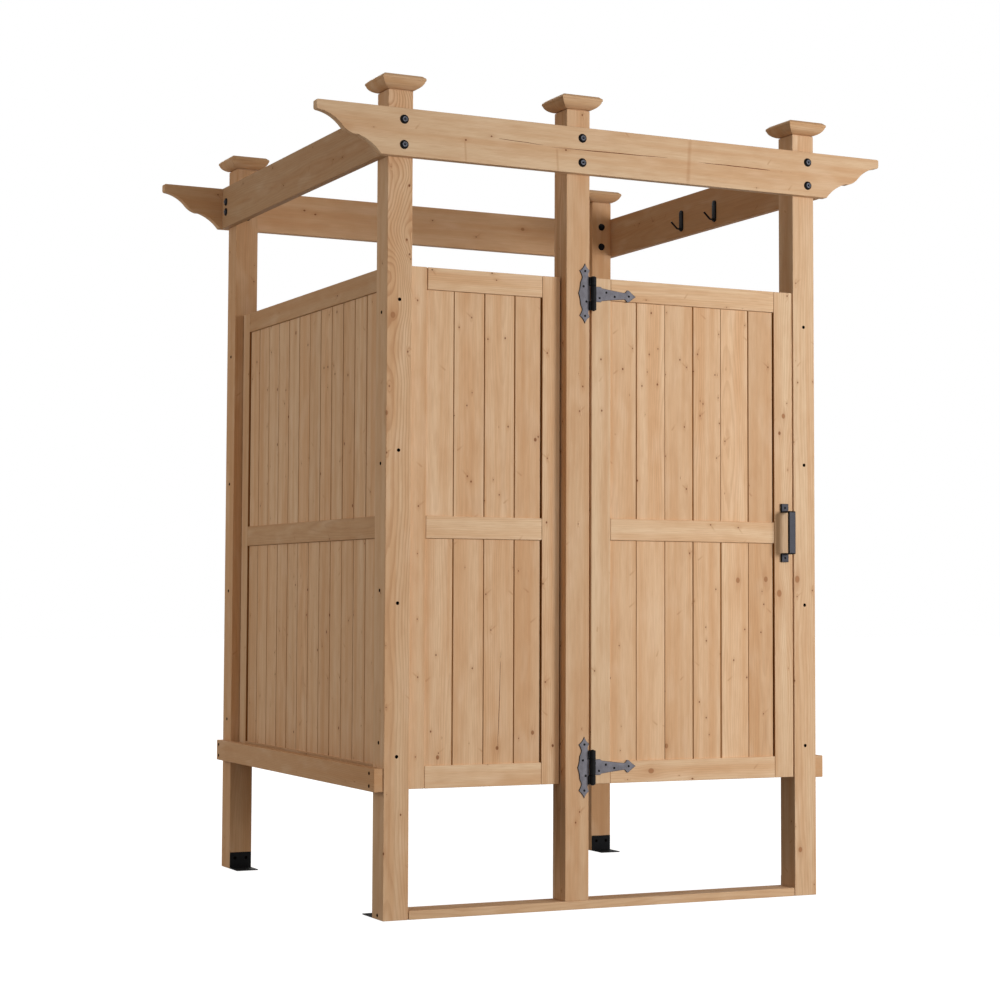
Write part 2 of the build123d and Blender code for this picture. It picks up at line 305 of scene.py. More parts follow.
    # Drying checks and the wider marks of branches cut lengthwise, each along a line between two points.
    shaken = finish.vector("ADD", place, finish.swing(mottle.outputs[1], SHAKE))
    checks = 0.0
    branches = 0.0
    for slot in range(LINE_SLOTS):
        start = finish.attribute(f"line_start_{slot}", "Color")
        run = finish.vector("SUBTRACT", finish.attribute(f"line_end_{slot}"), start)
        run_length = finish.highest(finish.vector("LENGTH", run), NO_RUN)
        from_start = finish.vector("SUBTRACT", shaken, start)
        dot = finish.node("ShaderNodeVectorMath", {0: from_start, 1: run}, "Value",
                          operation="DOT_PRODUCT")
        travel = finish.math("DIVIDE", dot, finish.product(run_length, run_length), clamp=True)
        aside = finish.vector("LENGTH", finish.vector("SUBTRACT", from_start, finish.scaled(run, travel)))
        taper = finish.math("SINE", finish.product(travel, math.pi))
        half_width = start.node.outputs["Alpha"]
        thin = finish.math("LESS_THAN", half_width, BRANCH_HALF_WIDTH)
        check = finish.math("LESS_THAN", aside, finish.product(half_width, taper))
        checks = finish.highest(checks, finish.product(check, thin))
        share = finish.math("DIVIDE", aside, finish.highest(half_width, NO_WIDTH))
        branch = finish.product(finish.step(share, 0.1, 1.3, 1.0, 0.0),
                                finish.step(taper, 0.0, 0.3, 0.4, 1.0),
                                finish.math("SUBTRACT", 1.0, thin))
        branches = finish.highest(branches, branch)

    # From the paler tones of the wood to its darkest marks. The warm tint is the wood's own pinkness, and
    # partly painted shade where a timber in shade or a groove is warmed.
    shade = finish.highest(finish.product(halo, 0.22), finish.product(pin_halo, 0.22),
                           finish.product(streak, 0.34), finish.product(branches, 0.3))
    base = finish.mix(finish.step(bands, 0.3, 0.72), pale, pink)
    for factor, tint in (
            (finish.product(pinkness, 0.35), WARM_WOOD_AND_PAINTED_SHADE),
            (finish.product(finish.step(mottle.outputs[0], 0.4, 0.68), 0.18), MOTTLED_WOOD),
            (finish.product(finish.step(cloud, 0.5, 0.72), 0.3), CLOUDED_WOOD),
            (finish.product(late, figure), LATE_WOOD),
            (finish.product(finish.step(fibres, 0.35, 0.7), 0.23), FIBRE_WOOD),
            (shade, BRANCH_WOOD),
            (finish.product(finish.highest(knots, pins), 0.86), SMALL_KNOT),
            (finish.product(broad, 0.72), BROAD_KNOT),
            (checks, CHECK_BROWN)):
        base = finish.mix(factor, base, tint)
    # Painted shade: wood whose lightness was lowered for a groove is multiplied darker and warmer.
    in_painted_shade = finish.step(lightness, *GROOVE_SHADE_LIGHTNESS, 1.0, 0.0)
    base = finish.mix(in_painted_shade, finish.scaled(base, lightness), GROOVE_SHADE_TINT, "MULTIPLY")
    finish.feed(finish.shader.inputs["Base Color"], base)
    finish.feed(finish.shader.inputs["Normal"], finish.bump(fibres, *FIBRE_RELIEF))
    return finish.material


SPECKLE_GRAIN = 1400.0       # to the metre, of the coating's fine texture
PATCH_GRAIN = 60.0           # and of its uneven wear
SPECKLE_SHARE = 0.6
SMOOTHER, ROUGHER = 0.06, 0.08
IRON_RELIEF = (0.3, 0.0003)


def iron(name, face, dark, roughness, gloss=0.08):
    """Powder-coated iron: a fine texture, and uneven wear of its grey."""
    finish = Finish(name, Specular_IOR_Level=gloss)
    place = finish.node("ShaderNodeTexCoord", {}, "Object")
    speckle = finish.noise(finish.scaled(place, SPECKLE_GRAIN), 2.0, 0.6)
    patches = finish.noise(finish.scaled(place, PATCH_GRAIN), 3.0, 0.6)
    worn = finish.math("MULTIPLY_ADD", speckle, SPECKLE_SHARE)
    finish.feed(worn.node.inputs[2], finish.product(patches, 1 - SPECKLE_SHARE))
    finish.feed(finish.shader.inputs["Base Color"], finish.mix(finish.step(worn, 0.35, 0.68), dark, face))
    rough = finish.step(patches, 0.3, 0.7, roughness - SMOOTHER, roughness + ROUGHER)
    finish.feed(finish.shader.inputs["Roughness"], rough)
    finish.feed(finish.shader.inputs["Normal"], finish.bump(speckle, *IRON_RELIEF))
    return finish.material


PALE_WOOD = colour(227, 197, 160)
PINK_WOOD = colour(213, 172, 131)
FRAME_WOOD = softwood("planed_frame_softwood", PALE_WOOD, PINK_WOOD, 0.6)
BOARD_WOOD = softwood("planed_board_softwood", colour(232, 199, 161), colour(218, 174, 131), 0.58)
CAP_WOOD = softwood("planed_cap_softwood", colour(222, 187, 147), colour(211, 168, 124), 0.6)
# Painted sheen: the hinges are black iron, and this grey on their front faces stands for the sheen that the
# lamps give them.
HINGE_PAINTED_SHEEN = iron("hinge_iron_painted_sheen", colour(140, 138, 144), colour(109, 107, 113), 0.52)
BLACK_IRON = iron("black_iron", colour(20, 20, 22), colour(9, 9, 10), 0.46)
# Painted sheen: the handle is black iron, and this dark grey on its flat fronts stands for the sheen that the
# key lamp gives them.
HANDLE_PAINTED_SHEEN = iron("handle_iron_painted_sheen", colour(84, 84, 90), colour(66, 66, 72), 0.46)
# Partly painted shade: black iron for the screws, darkened and warmed to stand also for the dark of the holes
# they sit in, and of the bolts' sockets.
BLACK_SCREW_AND_PAINTED_HOLE_SHADE = iron("black_screw_iron_and_painted_hole_shade", colour(14, 9, 7), colour(8, 5, 4), 0.85, 0.0)
# Painted highlight: the grey ring at the top of a black bolt head.
BOLT_PAINTED_HIGHLIGHT = iron("bolt_ring_painted_highlight", colour(122, 126, 136), colour(96, 99, 108), 0.4)
BRACKET_BLACK = iron("matt_black_bracket_iron", colour(18, 18, 19), colour(10, 10, 11), 0.62)


# Shapes.

def add_block(bm, low, high, edge=EASED_EDGE, segments=2):
    """A squared piece between two corners, with its edges eased where an amount is given."""
    low, high = Vector(low), Vector(high)
    made = bmesh.ops.create_cube(bm, size=1.0)["verts"]
    bmesh.ops.scale(bm, vec=high - low, verts=made)
    bmesh.ops.translate(bm, vec=(low + high) / 2, verts=made)
    if edge:
        ease(bm, {e for vert in made for e in vert.link_edges}, edge, segments)


def ease(bm, edges, offset, segments=2):
    bmesh.ops.bevel(bm, geom=list(edges), offset=offset, offset_type="OFFSET", affect="EDGES",
                    segments=segments, profile=0.5, material=-1, clamp_overlap=True)


def rises_in_z(edge):
    return abs(edge.verts[0].co.z - edge.verts[1].co.z) > WELD


def arc_centre(a, b, c):
    """The centre of the circle through three points of a plane."""
    turn = 2 * (a[0] * (b[1] - c[1]) + b[0] * (c[1] - a[1]) + c[0] * (a[1] - b[1]))
    squares = [p[0] ** 2 + p[1] ** 2 for p in (a, b, c)]
    x = (squares[0] * (b[1] - c[1]) + squares[1] * (c[1] - a[1]) + squares[2] * (a[1] - b[1])) / turn
    y = (squares[0] * (c[0] - b[0]) + squares[1] * (a[0] - c[0]) + squares[2] * (b[0] - a[0])) / turn
    return Vector((x, y, 0.0))


def draw(bm, start, strokes, steps=8):
    """A line of edges in the XY plane. A stroke is a point, or two points for an arc through the first."""
    vert = bm.verts.new((start[0], start[1], 0.0))
    made = [vert]
    for stroke in strokes:
        here = vert.co.copy()
        if len(stroke) == 1:
            vert = bm.verts.new((stroke[0][0], stroke[0][1], 0.0))
            bm.edges.new((made[-1], vert))
            made.append(vert)
            continue
        centre = arc_centre(here, stroke[0], stroke[1])
        first = here - centre
        spokes = [Vector((*p, 0.0)) - centre for p in stroke]
        angles = [math.atan2(first.cross(spoke).z, first.dot(spoke)) for spoke in spokes]
        whole = angles[1]
        if whole * angles[0] < 0 or abs(whole) < abs(angles[0]):
            whole += math.copysign(math.tau, angles[0])
        spun = bmesh.ops.spin(bm, geom=[vert], cent=centre, axis=(0, 0, 1), angle=whole, steps=steps,
                              dvec=(0, 0, 0), use_merge=False, use_normal_flip=False, use_duplicate=False)
        vert = [g for g in spun["geom_last"] if isinstance(g, bmesh.types.BMVert)][0]
        made.append(vert)
    return made


def close_outline(bm, mirrored=None):
    """Joins a drawn line, and its mirror image if an axis is given, into one flat face."""
    if mirrored:
        geom = bm.verts[:] + bm.edges[:]
        bmesh.ops.mirror(bm, geom=geom, matrix=Matrix.Identity(4), merge_dist=WELD, axis=mirrored.upper())
    bmesh.ops.remove_doubles(bm, verts=bm.verts[:], dist=WELD)
    ends = [v for v in bm.verts if len(v.link_edges) == 1]
    if len(ends) == 2:
        bm.edges.new(ends)
    return bmesh.ops.contextual_create(bm, geom=bm.edges[:])["faces"]


def raise_face(bm, faces, height):
    """Pulls flat faces of the XY plane up into a closed slab."""
    kept = bmesh.ops.extrude_face_region(bm, geom=faces)["geom"]
    bmesh.ops.translate(bm, vec=(0, 0, height), verts=[g for g in kept if isinstance(g, bmesh.types.BMVert)])
    bmesh.ops.recalc_face_normals(bm, faces=bm.faces[:])


def pull_face(bm, face, step):
    """Pulls one face out by a step. The face stays behind only where it closes the start of a solid."""
    inside = any(len(edge.link_faces) > 1 for edge in face.edges)
    grown = bmesh.ops.extrude_face_region(bm, geom=[face])["geom"]
    if inside:
        bmesh.ops.delete(bm, geom=[face], context="FACES_ONLY")
    bmesh.ops.translate(bm, vec=step, verts=[g for g in grown if isinstance(g, bmesh.types.BMVert)])
    return [g for g in grown if isinstance(g, bmesh.types.BMFace)][0]


def join(bm, part, matrix=Matrix.Identity(4), index=None):
    """Adds a part to a bigger shape, at a place and with one of the shape's materials."""
    bmesh.ops.transform(part, matrix=matrix, verts=part.verts[:])
    if index is not None:
        for face in part.faces:
            face.material_index = index
    held = bpy.data.meshes.new("part")
    part.to_mesh(held)
    part.free()
    bm.from_mesh(held)
    bpy.data.meshes.remove(held)


def standing(axis, place):
    """Where a part drawn along Z goes so that it stands at a place and points along an axis."""
    turn = Vector((0, 0, 1)).rotation_difference(Vector(axis)).to_matrix().to_4x4()
    return Matrix.Translation(Vector(place)) @ turn


def lathe(bm, profile, place, axis, segments=28, index=None):
    """A turned piece: a profile of distances from the axis and heights along it, spun a full turn."""
    part = bmesh.new()
    verts = [part.verts.new((radius, 0.0, height)) for radius, height in profile]
    edges = [part.edges.new(pair) for pair in zip(verts, verts[1:])]
    bmesh.ops.spin(part, geom=verts + edges, cent=(0, 0, 0), axis=(0, 0, 1), dvec=(0, 0, 0), angle=math.tau,
                   steps=segments, use_merge=True, use_normal_flip=False, use_duplicate=False)
    bmesh.ops.remove_doubles(part, verts=part.verts[:], dist=WELD)
    bmesh.ops.recalc_face_normals(part, faces=part.faces[:])
    join(bm, part, standing(axis, place), index)


def corners(verts):
    """The lowest and highest corner of the box round some vertices."""
    return tuple(Vector([extreme(v.co[i] for v in verts) for i in range(3)]) for extreme in (min, max))


def make_object(name, bm, materials, smooth_angle=None):
    mesh = bpy.data.meshes.new(name)
    bm.to_mesh(mesh)
    bm.free()
    for material in materials:
        mesh.materials.append(material)
    if smooth_angle:
        mesh.shade_smooth()
        mesh.set_sharp_from_angle(angle=math.radians(smooth_angle))
    made = bpy.data.objects.new(name, mesh)
    bpy.context.scene.collection.objects.link(made)
    return made


def put_on(piece, body, slot, *nodes):
    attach(piece, body)
    if nodes:
        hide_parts(*nodes)
    return piece


def body_of(node):
    return "door" if node in frame["record"]["behaviour"]["bodies"]["door"] else "enclosure"


# Timber.

# Knots that the photograph shows: across the face and up, from the front left foot, and the radius. A fourth
# value is how far a knot lies before the face, where only the grain round it shows.
KNOTS_MM = {
    "door_boards": ("x", (
        (758, 1114, 2.6), (1047, 1641, 2.4), (846, 1294, 2.8), (895, 1815, 2.8), (888, 1686, 2.4),
        (919, 1705, 2.0), (917, 1594, 3.0), (862, 1587, 2.4), (794, 1636, 3.0), (998, 1675, 2.6),
        (1126, 1634, 2.2), (1082, 1541, 2.2), (1067, 613, 2.4), (1093, 802, 2.4),
        (1144, 761, 2.6), (1092, 564, 2.4), (751, 690, 2.2), (1209, 991, 7.0), (1313, 995, 7.0),
        (1128, 962, 2.2), (1091, 844, 2.2), (1193, 741, 2.6), (1241, 687, 2.6), (1294, 828, 2.4),
        (1305, 916, 2.4), (1234, 837, 2.4), (745, 1782, 2.6), (949, 480, 6.0))),
    "door_rails": ("x", ((891, 406, 8.0), (1038, 378, 3.0))),
    "front_panel_boards": ("x", (
        (236, 1099, 2.6), (384, 485, 5.0), (417, 1446, 2.6), (337, 1404, 2.4), (252, 1737, 2.4),
        (237, 1472, 2.0), (406, 1713, 2.8), (279, 1504, 2.2), (348, 1707, 2.2), (294, 1277, 2.8),
        (509, 1410, 5.0), (388, 1240, 2.2), (166, 538, 2.8), (182, 762, 2.4), (503, 528, 5.5),
        (189, 462, 5.5), (338, 1221, 2.2), (301, 722, 2.4))),
    "left_panel_boards": ("y", (
        (517, 875, 3.9), (706, 954, 3.1), (992, 1438, 4.2), (892, 1524, 3.6), (713, 874, 3.1),
        (540, 822, 4.2), (603, 1321, 3.6), (813, 970, 3.1), (998, 1623, 4.2), (406, 1404, 3.9),
        (420, 615, 3.9), (337, 1210, 4.4), (434, 529, 3.9), (615, 764, 3.6), (817, 495, 3.6),
        (831, 1795, 5.2), (722, 1744, 3.4), (581, 1656, 3.4), (548, 1656, 3.4), (488, 1628, 3.1),
        (382, 1615, 3.6), (918, 1614, 3.1), (1200, 1735, 3.9), (476, 1822, 3.9))),
    "post_front_left": ("x", (
        (69, 2142, 3.6), (71, 1938, 2.8), (19, 1756, 7.5), (0, 1468, 6.0), (62, 1981, 3.2),
        (66, 2020, 16.0, 24.0), (54, 303, 2.8), (0, 193, 3.6))),
    "post_hinge": ("x", ((629, 259, 2.6), (651, 1575, 2.6))),
    "post_front_right": ("x", ((1427, 996, 9.0), (1432, 1624, 2.6), (1416, 675, 2.6), (1435, 144, 7.0))),
    "post_back_left": ("y", ((1389, 2140, 3.0), (1317, 901, 3.6), (1240, 224, 3.0))),
    "door_stiles": ("x", (
        (1377, 1514, 6.5), (1362, 1459, 5.0), (1359, 951, 9.0), (717, 1504, 2.8), (714, 1661, 2.8))),
    "front_panel_stiles": ("x", ((145, 410, 3.0), (568, 488, 4.0), (545, 1160, 3.0))),
    "front_panel_rails": ("x", ((373, 1886, 2.2), (538, 440, 3.0))),
    "back_beam": ("x", ((327, 2302, 3.4), (285, 2313, 3.4), (1162, 2313, 6.0), (790, 2317, 2.6))),
    "front_beam": ("x", ((325, 2308, 2.6), (577, 2290, 3.0), (240, 2289, 3.0))),
}

# Checks and branch marks: where each starts and ends, in the same way, and its half width.
LINES_MM = {
    "front_beam": ("x", (
        ((515, 2294), (965, 2299), 1.3), ((1015, 2296), (1400, 2293), 1.4), ((315, 2305), (515, 2298), 0.9),
        ((237, 2291), (241, 2224), 4.0), ((546, 2290), (550, 2224), 4.5), ((1016, 2364), (1008, 2224), 8.0))),
    "front_panel_boards": ("x", (((397, 804), (385, 442), 1.1),)),
}

# How a timber is cut, where the photograph shows it: the pith's direction, and how strongly the rings show,
# at its low end and at its high one where they differ.
CUTS = {"post_front_left": (62, 0.18, 0.46), "post_hinge": (5, 0.34), "post_front_right": (60, 0.16),
        "front_beam": (90, 0.1), "back_beam": (70, 0.12), "left_beam": (80, 0.14)}
FIGURES = (0.08, 0.2)
LIGHT_SPREAD = 0.02          # how much the lightness of the others varies
PINK_SPREAD = 0.8
# How light and how pink a timber is, where the photograph shows it. On the side beams, side and lower rails
# and back posts the darker, pinker values are partly painted shade.
TIMBER_TONES_AND_PAINTED_SHADE = {
    "left_beam": (-0.26, 1.4), "right_beam": (-0.12, 1.9), "left_lower_rail": (-0.06, 1.6),
    "right_lower_rail": (-0.06, 1.6), "left_panel_rails": (-0.14, 1.4), "right_panel_rails": (-0.14, 1.4),
    "door_rails": (0.05, 0.0), "front_panel_rails": (0.06, 0.0), "front_beam": (-0.02, 0.1),
    "post_back_left": (0.0, 1.4), "post_back_right": (0.0, 1.9), "bottom_plate": (0.0, 0.8),
    "post_front_right": (0.0, 0.0), "post_hinge": (0.0, 0.6), "post_front_left": (0.02, 0.5),
    "front_panel_stiles": (0.03, 0.4), "door_stiles": (0.0, 0.0), "back_beam": (0.03, 1.0),
}

# How light and how pink each board of a tier is.
BOARD_TONES = {
    "door_boards": ((0.0, 0.5), (0.03, 0.15), (-0.01, 0.4), (0.01, 0.2), (0.03, 0.0), (-0.05, 0.8)),
    "front_panel_boards": ((0.0, 0.1), (-0.01, 0.25), (-0.01, 0.35), (-0.03, 0.7)),
}


foot_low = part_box("post_front_left")[0]
FOOT_CORNER = {"x": foot_low.x, "y": foot_low.y}


GROOVE_WALL_PAINTED_SHADE = 0.55           # painted shade: the share of its lightness that a groove's wall keeps
GROOVE_PAINTED_SHADE = (-0.4, 2.8)    # painted shade: how dark and how warm the wood at the bottom of a groove is coloured
# Stiles whose near side closes the groove beside the last board, by solid and axis. That side is painted with
# shade, darker and warmer.
SHADE_PAINTED_STILE_SIDES = {("front_panel_stiles", 1): "x", ("door_stiles", 1): "x", ("left_panel_stiles", 1): "y"}
JOINT_GAP = 0.0007
SHRINKAGE = 0.004
# Gaps that the photograph shows, by node, solid and side.
TRIMS = {("door_stiles", 0): {"x-": 0.0015}, ("front_panel_stiles", 1): {"x+": SHRINKAGE},
         ("left_panel_stiles", 1): {"y+": SHRINKAGE}, ("front_panel_rails", 2): {"x-": 0.0014},
         ("bottom_plate", 0): {"x-": 0.0012, "x+": 0.0012}}
# How often small knots lie in a timber.
FRAME_PINS, BEAM_PINS, CAP_PINS, BOARD_PINS = 0.22, 0.12, 0.1, 0.34
PLAIN_BEAM = (0.0, 0.3)


class Timbers:
    """The mesh of one or more timbers, whose vertices and faces carry what the softwood finish reads."""

    def __init__(self, node):
        self.node = node
        self.bm = bmesh.new()
        self.chance = random.Random(node)
        layers = self.bm.verts.layers
        self.done = layers.int.new("timber_done")
        self.place = layers.float_vector.new("log_place")
        self.tone = layers.float_color.new("timber_tone_and_painted_shade")
        self.lines = [(layers.float_color.new(f"line_start_{i}"), layers.float_vector.new(f"line_end_{i}"))
                      for i in range(LINE_SLOTS)]
        self.knots = [layers.float_color.new(f"knot_{i}") for i in range(KNOT_SLOTS)]
        self.face = self.bm.loops.layers.uv.new("timber_face")

    def on_face(self, low, axis, across, up):
        """A point of the table, on the front or left face of a timber whose lowest corner is given."""
        point = low.copy()
        point[axis_index(axis)] = FOOT_CORNER[axis] + across / 1000
        point.z = up / 1000
        return point

    def mark(self, along, light, pink, pins):
        """Cuts what was added since the last mark from a log of its own, with the grain along one axis."""
        fresh = [v for v in self.bm.verts if not v[self.done]]
        low, high = corners(fresh)
        cut, *figures = CUTS.get(self.node, (self.chance.uniform(0, 360), self.chance.uniform(*FIGURES)))
        pith, height = self.chance.uniform(*PITH_DISTANCE), self.chance.uniform(0, LOG_LENGTH)
        shift = Matrix.Translation((pith, 0.0, height))
        turn = Matrix.Rotation(math.radians(cut), 4, "Z")
        to_log = shift @ turn @ WALL_GRAIN[along] @ Matrix.Translation(-(low + high) / 2)
        tone = (1.0 + (self.chance.gauss(0, LIGHT_SPREAD) if light is None else light),
                self.chance.random() * PINK_SPREAD if pink is None else pink)
        clear = (0.0, 0.0, 0.0, 0.0)
        axis, marks = KNOTS_MM.get(self.node, ("x", ()))
        spots = []
        for across, up, radius, *before in marks:
            spot = self.on_face(low, axis, across, up)
            if all(low[i] - WELD <= spot[i] <= high[i] + WELD for i in range(3)):
                spot[1 - axis_index(axis)] -= sum(before) / 1000
                spots.append((spot, radius / 1000))
        knot_values = [(*(to_log @ spot), radius) for spot, radius in spots] + [clear] * KNOT_SLOTS
        line_values = []
        axis, marks = LINES_MM.get(self.node, ("x", ()))
        for start, end, half_width in marks:
            start, end = self.on_face(low, axis, *start), self.on_face(low, axis, *end)
            middle = (start + end) / 2
            if all(low[i] - WELD <= middle[i] <= high[i] + WELD for i in range(3)):
                line_values.append(((*(to_log @ start), half_width / 1000), to_log @ end))
        line_values += [(clear, Vector())] * LINE_SLOTS
        run = axis_index(along)
        for vert in fresh:
            share = (vert.co[run] - low[run]) / (high[run] - low[run])
            vert[self.done] = 1
            vert[self.place] = to_log @ vert.co
            vert[self.tone] = (*tone, figures[0] + (figures[-1] - figures[0]) * share, pins)
            for (start_layer, end_layer), (start, end) in zip(self.lines, line_values):
                vert[start_layer], vert[end_layer] = start, end
            for layer, value in zip(self.knots, knot_values):
                vert[layer] = value
        self.map_faces({f for v in fresh for f in v.link_faces}, run)
        return fresh

    def paint_groove_shade(self, verts, axis, at):
        """Paints shade on the wall of a groove, which lies at one place along an axis: darker and warmer."""
        for vert in verts:
            if abs(vert.co[axis] - at) < WELD:
                light, pink, *rest = vert[self.tone]
                vert[self.tone] = (light * GROOVE_WALL_PAINTED_SHADE, GROOVE_PAINTED_SHADE[1], *rest)

    def map_faces(self, faces, along):
        """Lays each face out flat in metres, with the grain along V, away from the other faces' layouts."""
        shift = (self.chance.uniform(0, FACE_SPREAD), self.chance.uniform(0, FACE_SPREAD))
        for face in faces:
            face.normal_update()
            sides = [i for i in range(3) if i != along]
            facing = max(sides, key=lambda i: abs(face.normal[i]))
            across = [i for i in sides if i != facing][0]
            apart = FACES_APART * facing + (SIDES_APART if face.normal[facing] > 0 else 0.0)
            for loop in face.loops:
                place = loop.vert.co
                loop[self.face].uv = (place[across] + shift[0] + apart, place[along] + shift[1])

    def finish(self, material, smooth_angle=None):
        return make_object(f"{self.node}_timber", self.bm, [material], smooth_angle)


def solid_boxes(node):
    """The lowest and highest corner of each solid in a CAD node."""
    bm = bmesh.new()
    bm.from_mesh(frame["nodes"][node].data)
    bmesh.ops.remove_doubles(bm, verts=bm.verts[:], dist=WELD)
    left = set(bm.verts)
    boxes = []
    while left:
        group = [left.pop()]
        for vert in group:
            for edge in vert.link_edges:
                other = edge.other_vert(vert)
                if other in left:
                    left.remove(other)
                    group.append(other)
        boxes.append(corners(group))
    bm.free()
    return sorted(boxes, key=lambda box: tuple(round(c, 4) for c in box[0]))


def squared_timber(node, along):
    """Every solid of a node as a squared timber with eased edges, and a hair's gap at its joints."""
    wood = Timbers(node)
    run = axis_index(along)
    boxes = solid_boxes(node)
    for index, (low, high) in enumerate(boxes):
        trims = TRIMS.get((node, index), {})
        for name, amount in trims.items():
            side = axis_index(name[0])
            if name[1] == "-":
                low[side] += amount
            else:
                high[side] -= amount
        if node.endswith("_rails") or node == "bottom_plate":
            low[run] += JOINT_GAP
            high[run] -= JOINT_GAP
        add_block(wood.bm, low, high)
        fresh = wood.mark(along, *TIMBER_TONES_AND_PAINTED_SHADE.get(node, (None, None)), FRAME_PINS)
        # Painted shade on the stile's side that closes the groove beside the last board.
        if (node, index) in SHADE_PAINTED_STILE_SIDES:
            across = axis_index(SHADE_PAINTED_STILE_SIDES[node, index])
            wood.paint_groove_shade(fresh, across, low[across])
    return put_on(wood.finish(FRAME_WOOD), body_of(node), "frame_timber", node)


def scalloped_beam(node):
    """A beam with two scallops under each end, drawn as half an outline and mirrored."""
    low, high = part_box(node)
    wood = Timbers(node)

    def end_point(place):
        return (low.x + place[0], high.z - place[1])

    draw(wood.bm, (0.0, high.z), [
        [end_point((0.0, 0.0))],
        [end_point((0.0, BEAM_NOSE))],
        [end_point(UPPER_SCALLOP_MIDDLE), end_point(SCALLOP_TURN)],
        [end_point(SCALLOP_TURN_MIDDLE), end_point(SHOULDER_START)],
        [end_point(SHOULDER_END)],
        [end_point(LOWER_SCALLOP_MIDDLE), (low.x + SCALLOP_RUN, low.z)],
        [(0.0, low.z)],
    ], steps=12)
    raise_face(wood.bm, close_outline(wood.bm, "x"), high.y - low.y)
    # The outline still lies flat, so a tip's corners are the edges at its end that run along Z.
    tips = [e for e in wood.bm.edges if rises_in_z(e)
            and all(abs(abs(v.co.x) - high.x) < WELD for v in e.verts)]
    ease(wood.bm, tips, NOSE_ROUNDING, 3)
    crisp = [e for e in wood.bm.edges if len(e.link_faces) == 2 and e.calc_face_angle() > math.radians(40)]
    ease(wood.bm, crisp, EASED_EDGE)
    stand = Matrix.Translation((0, high.y, 0)) @ Matrix.Rotation(math.radians(90), 4, "X")
    bmesh.ops.transform(wood.bm, matrix=stand, verts=wood.bm.verts[:])
    wood.mark("x", *TIMBER_TONES_AND_PAINTED_SHADE.get(node, PLAIN_BEAM), BEAM_PINS)
    return put_on(wood.finish(FRAME_WOOD), body_of(node), "frame_timber", node)


CAP_PLINTH = 0.069           # sides of the square at each level, from below
CAP_NECK = 0.083
CAP_FLAT = 0.121
CAP_GROOVE = 0.0028          # heights
CAP_FASCIA = 0.0065
CAP_SLOPE = 0.008
CAP_QUIRK = 0.0014           # the thin line under the fascia
CAP_STEPS = 14               # levels of the swelling underside
CAP_ROUND = 0.75             # it is a quarter circle by this share, and straight by the rest
CAP_EASED = 0.0007
CAP_SHARP_ANGLE = 14         # edges that turn more than this, in degrees, stay sharp
CAP_TONE = (-0.03, 0.5)


def post_cap(node):
    """A square pulled up through a swelling underside, a fascia and a sloped edge."""
    low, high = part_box(node)
    width = high.x - low.x
    swell = high.z - low.z - CAP_FASCIA - CAP_SLOPE
    wood = Timbers(node)
    bm = wood.bm
    side = CAP_PLINTH
    base = bmesh.ops.create_grid(bm, x_segments=1, y_segments=1, size=side / 2)
    bmesh.ops.translate(bm, vec=((low.x + high.x) / 2, (low.y + high.y) / 2, low.z), verts=base["verts"])
    face = bm.faces[:][0]
    levels = [(CAP_GROOVE, CAP_PLINTH), (CAP_GROOVE, CAP_NECK)]
    for share in (i / CAP_STEPS for i in range(1, CAP_STEPS)):
        curve = CAP_ROUND * (1 - math.sqrt(1 - share * share)) + (1 - CAP_ROUND) * share
        levels.append((swell * curve + CAP_GROOVE, CAP_NECK + (width - 2 * CAP_QUIRK - CAP_NECK) * share))
    levels += [(swell, width - 2 * CAP_QUIRK), (swell, width), (swell + CAP_FASCIA, width),
               (swell + CAP_FASCIA + CAP_SLOPE, CAP_FLAT)]
    at = 0.0
    for level, new_side in levels:
        face = pull_face(bm, face, (0, 0, level - at))
        centre = face.calc_center_median()
        bmesh.ops.scale(bm, vec=(new_side / side, new_side / side, 1), verts=face.verts[:],
                        space=Matrix.Translation(-centre))
        at, side = level, new_side
    bmesh.ops.recalc_face_normals(bm, faces=bm.faces[:])
    crisp = [e for e in bm.edges if e.calc_face_angle() > math.radians(28)
             and e.verts[0].co.z > low.z + CAP_GROOVE + WELD]
    ease(bm, crisp, CAP_EASED)
    wood.mark("x", *CAP_TONE, CAP_PINS)
    return put_on(wood.finish(CAP_WOOD, CAP_SHARP_ANGLE), "enclosure", "caps", node)


# Gaps between boards, from left to right, lower tier first. Other panels draw theirs.
BOARD_GAPS = {"front_panel": ((0.0016, 0.0008, 0.0012), (0.0008, 0.0011, 0.0014)),
              "door": ((0.0006, 0.0005, 0.0014, 0.0021, 0.0005), (0.0012, 0.0003, 0.0018, 0.0004, 0.0014))}
SIDE_GAPS = (0.0014, 0.0018, 0.0022, 0.0026)
END_GAP = 0.0035             # between the last board and the stile beside it
END_GAPS = {"door": 0.0019, "front_panel": 0.0027}
TOP_GAP = 0.0012             # between the boards and the rail above them
SLOPE_START, SLOPE_GAIN = 0.001, 0.9   # a V is deeper at a wide gap than at a tight one
TONGUE_REACH = 0.006         # from the joint, each way
TOP_TONGUE = 0.004
TONGUE_EDGE = 0.0004
STRIP_DEPTH = 0.003          # how far behind the middle the strip at the last board's gap lies
BOARD_STEP = 0.003           # the boards lie this much nearer the outside than in the CAD
OUTWARD = {"front_panel": -1, "door": -1, "back_panel": 1, "left_panel": -1, "right_panel": 1}


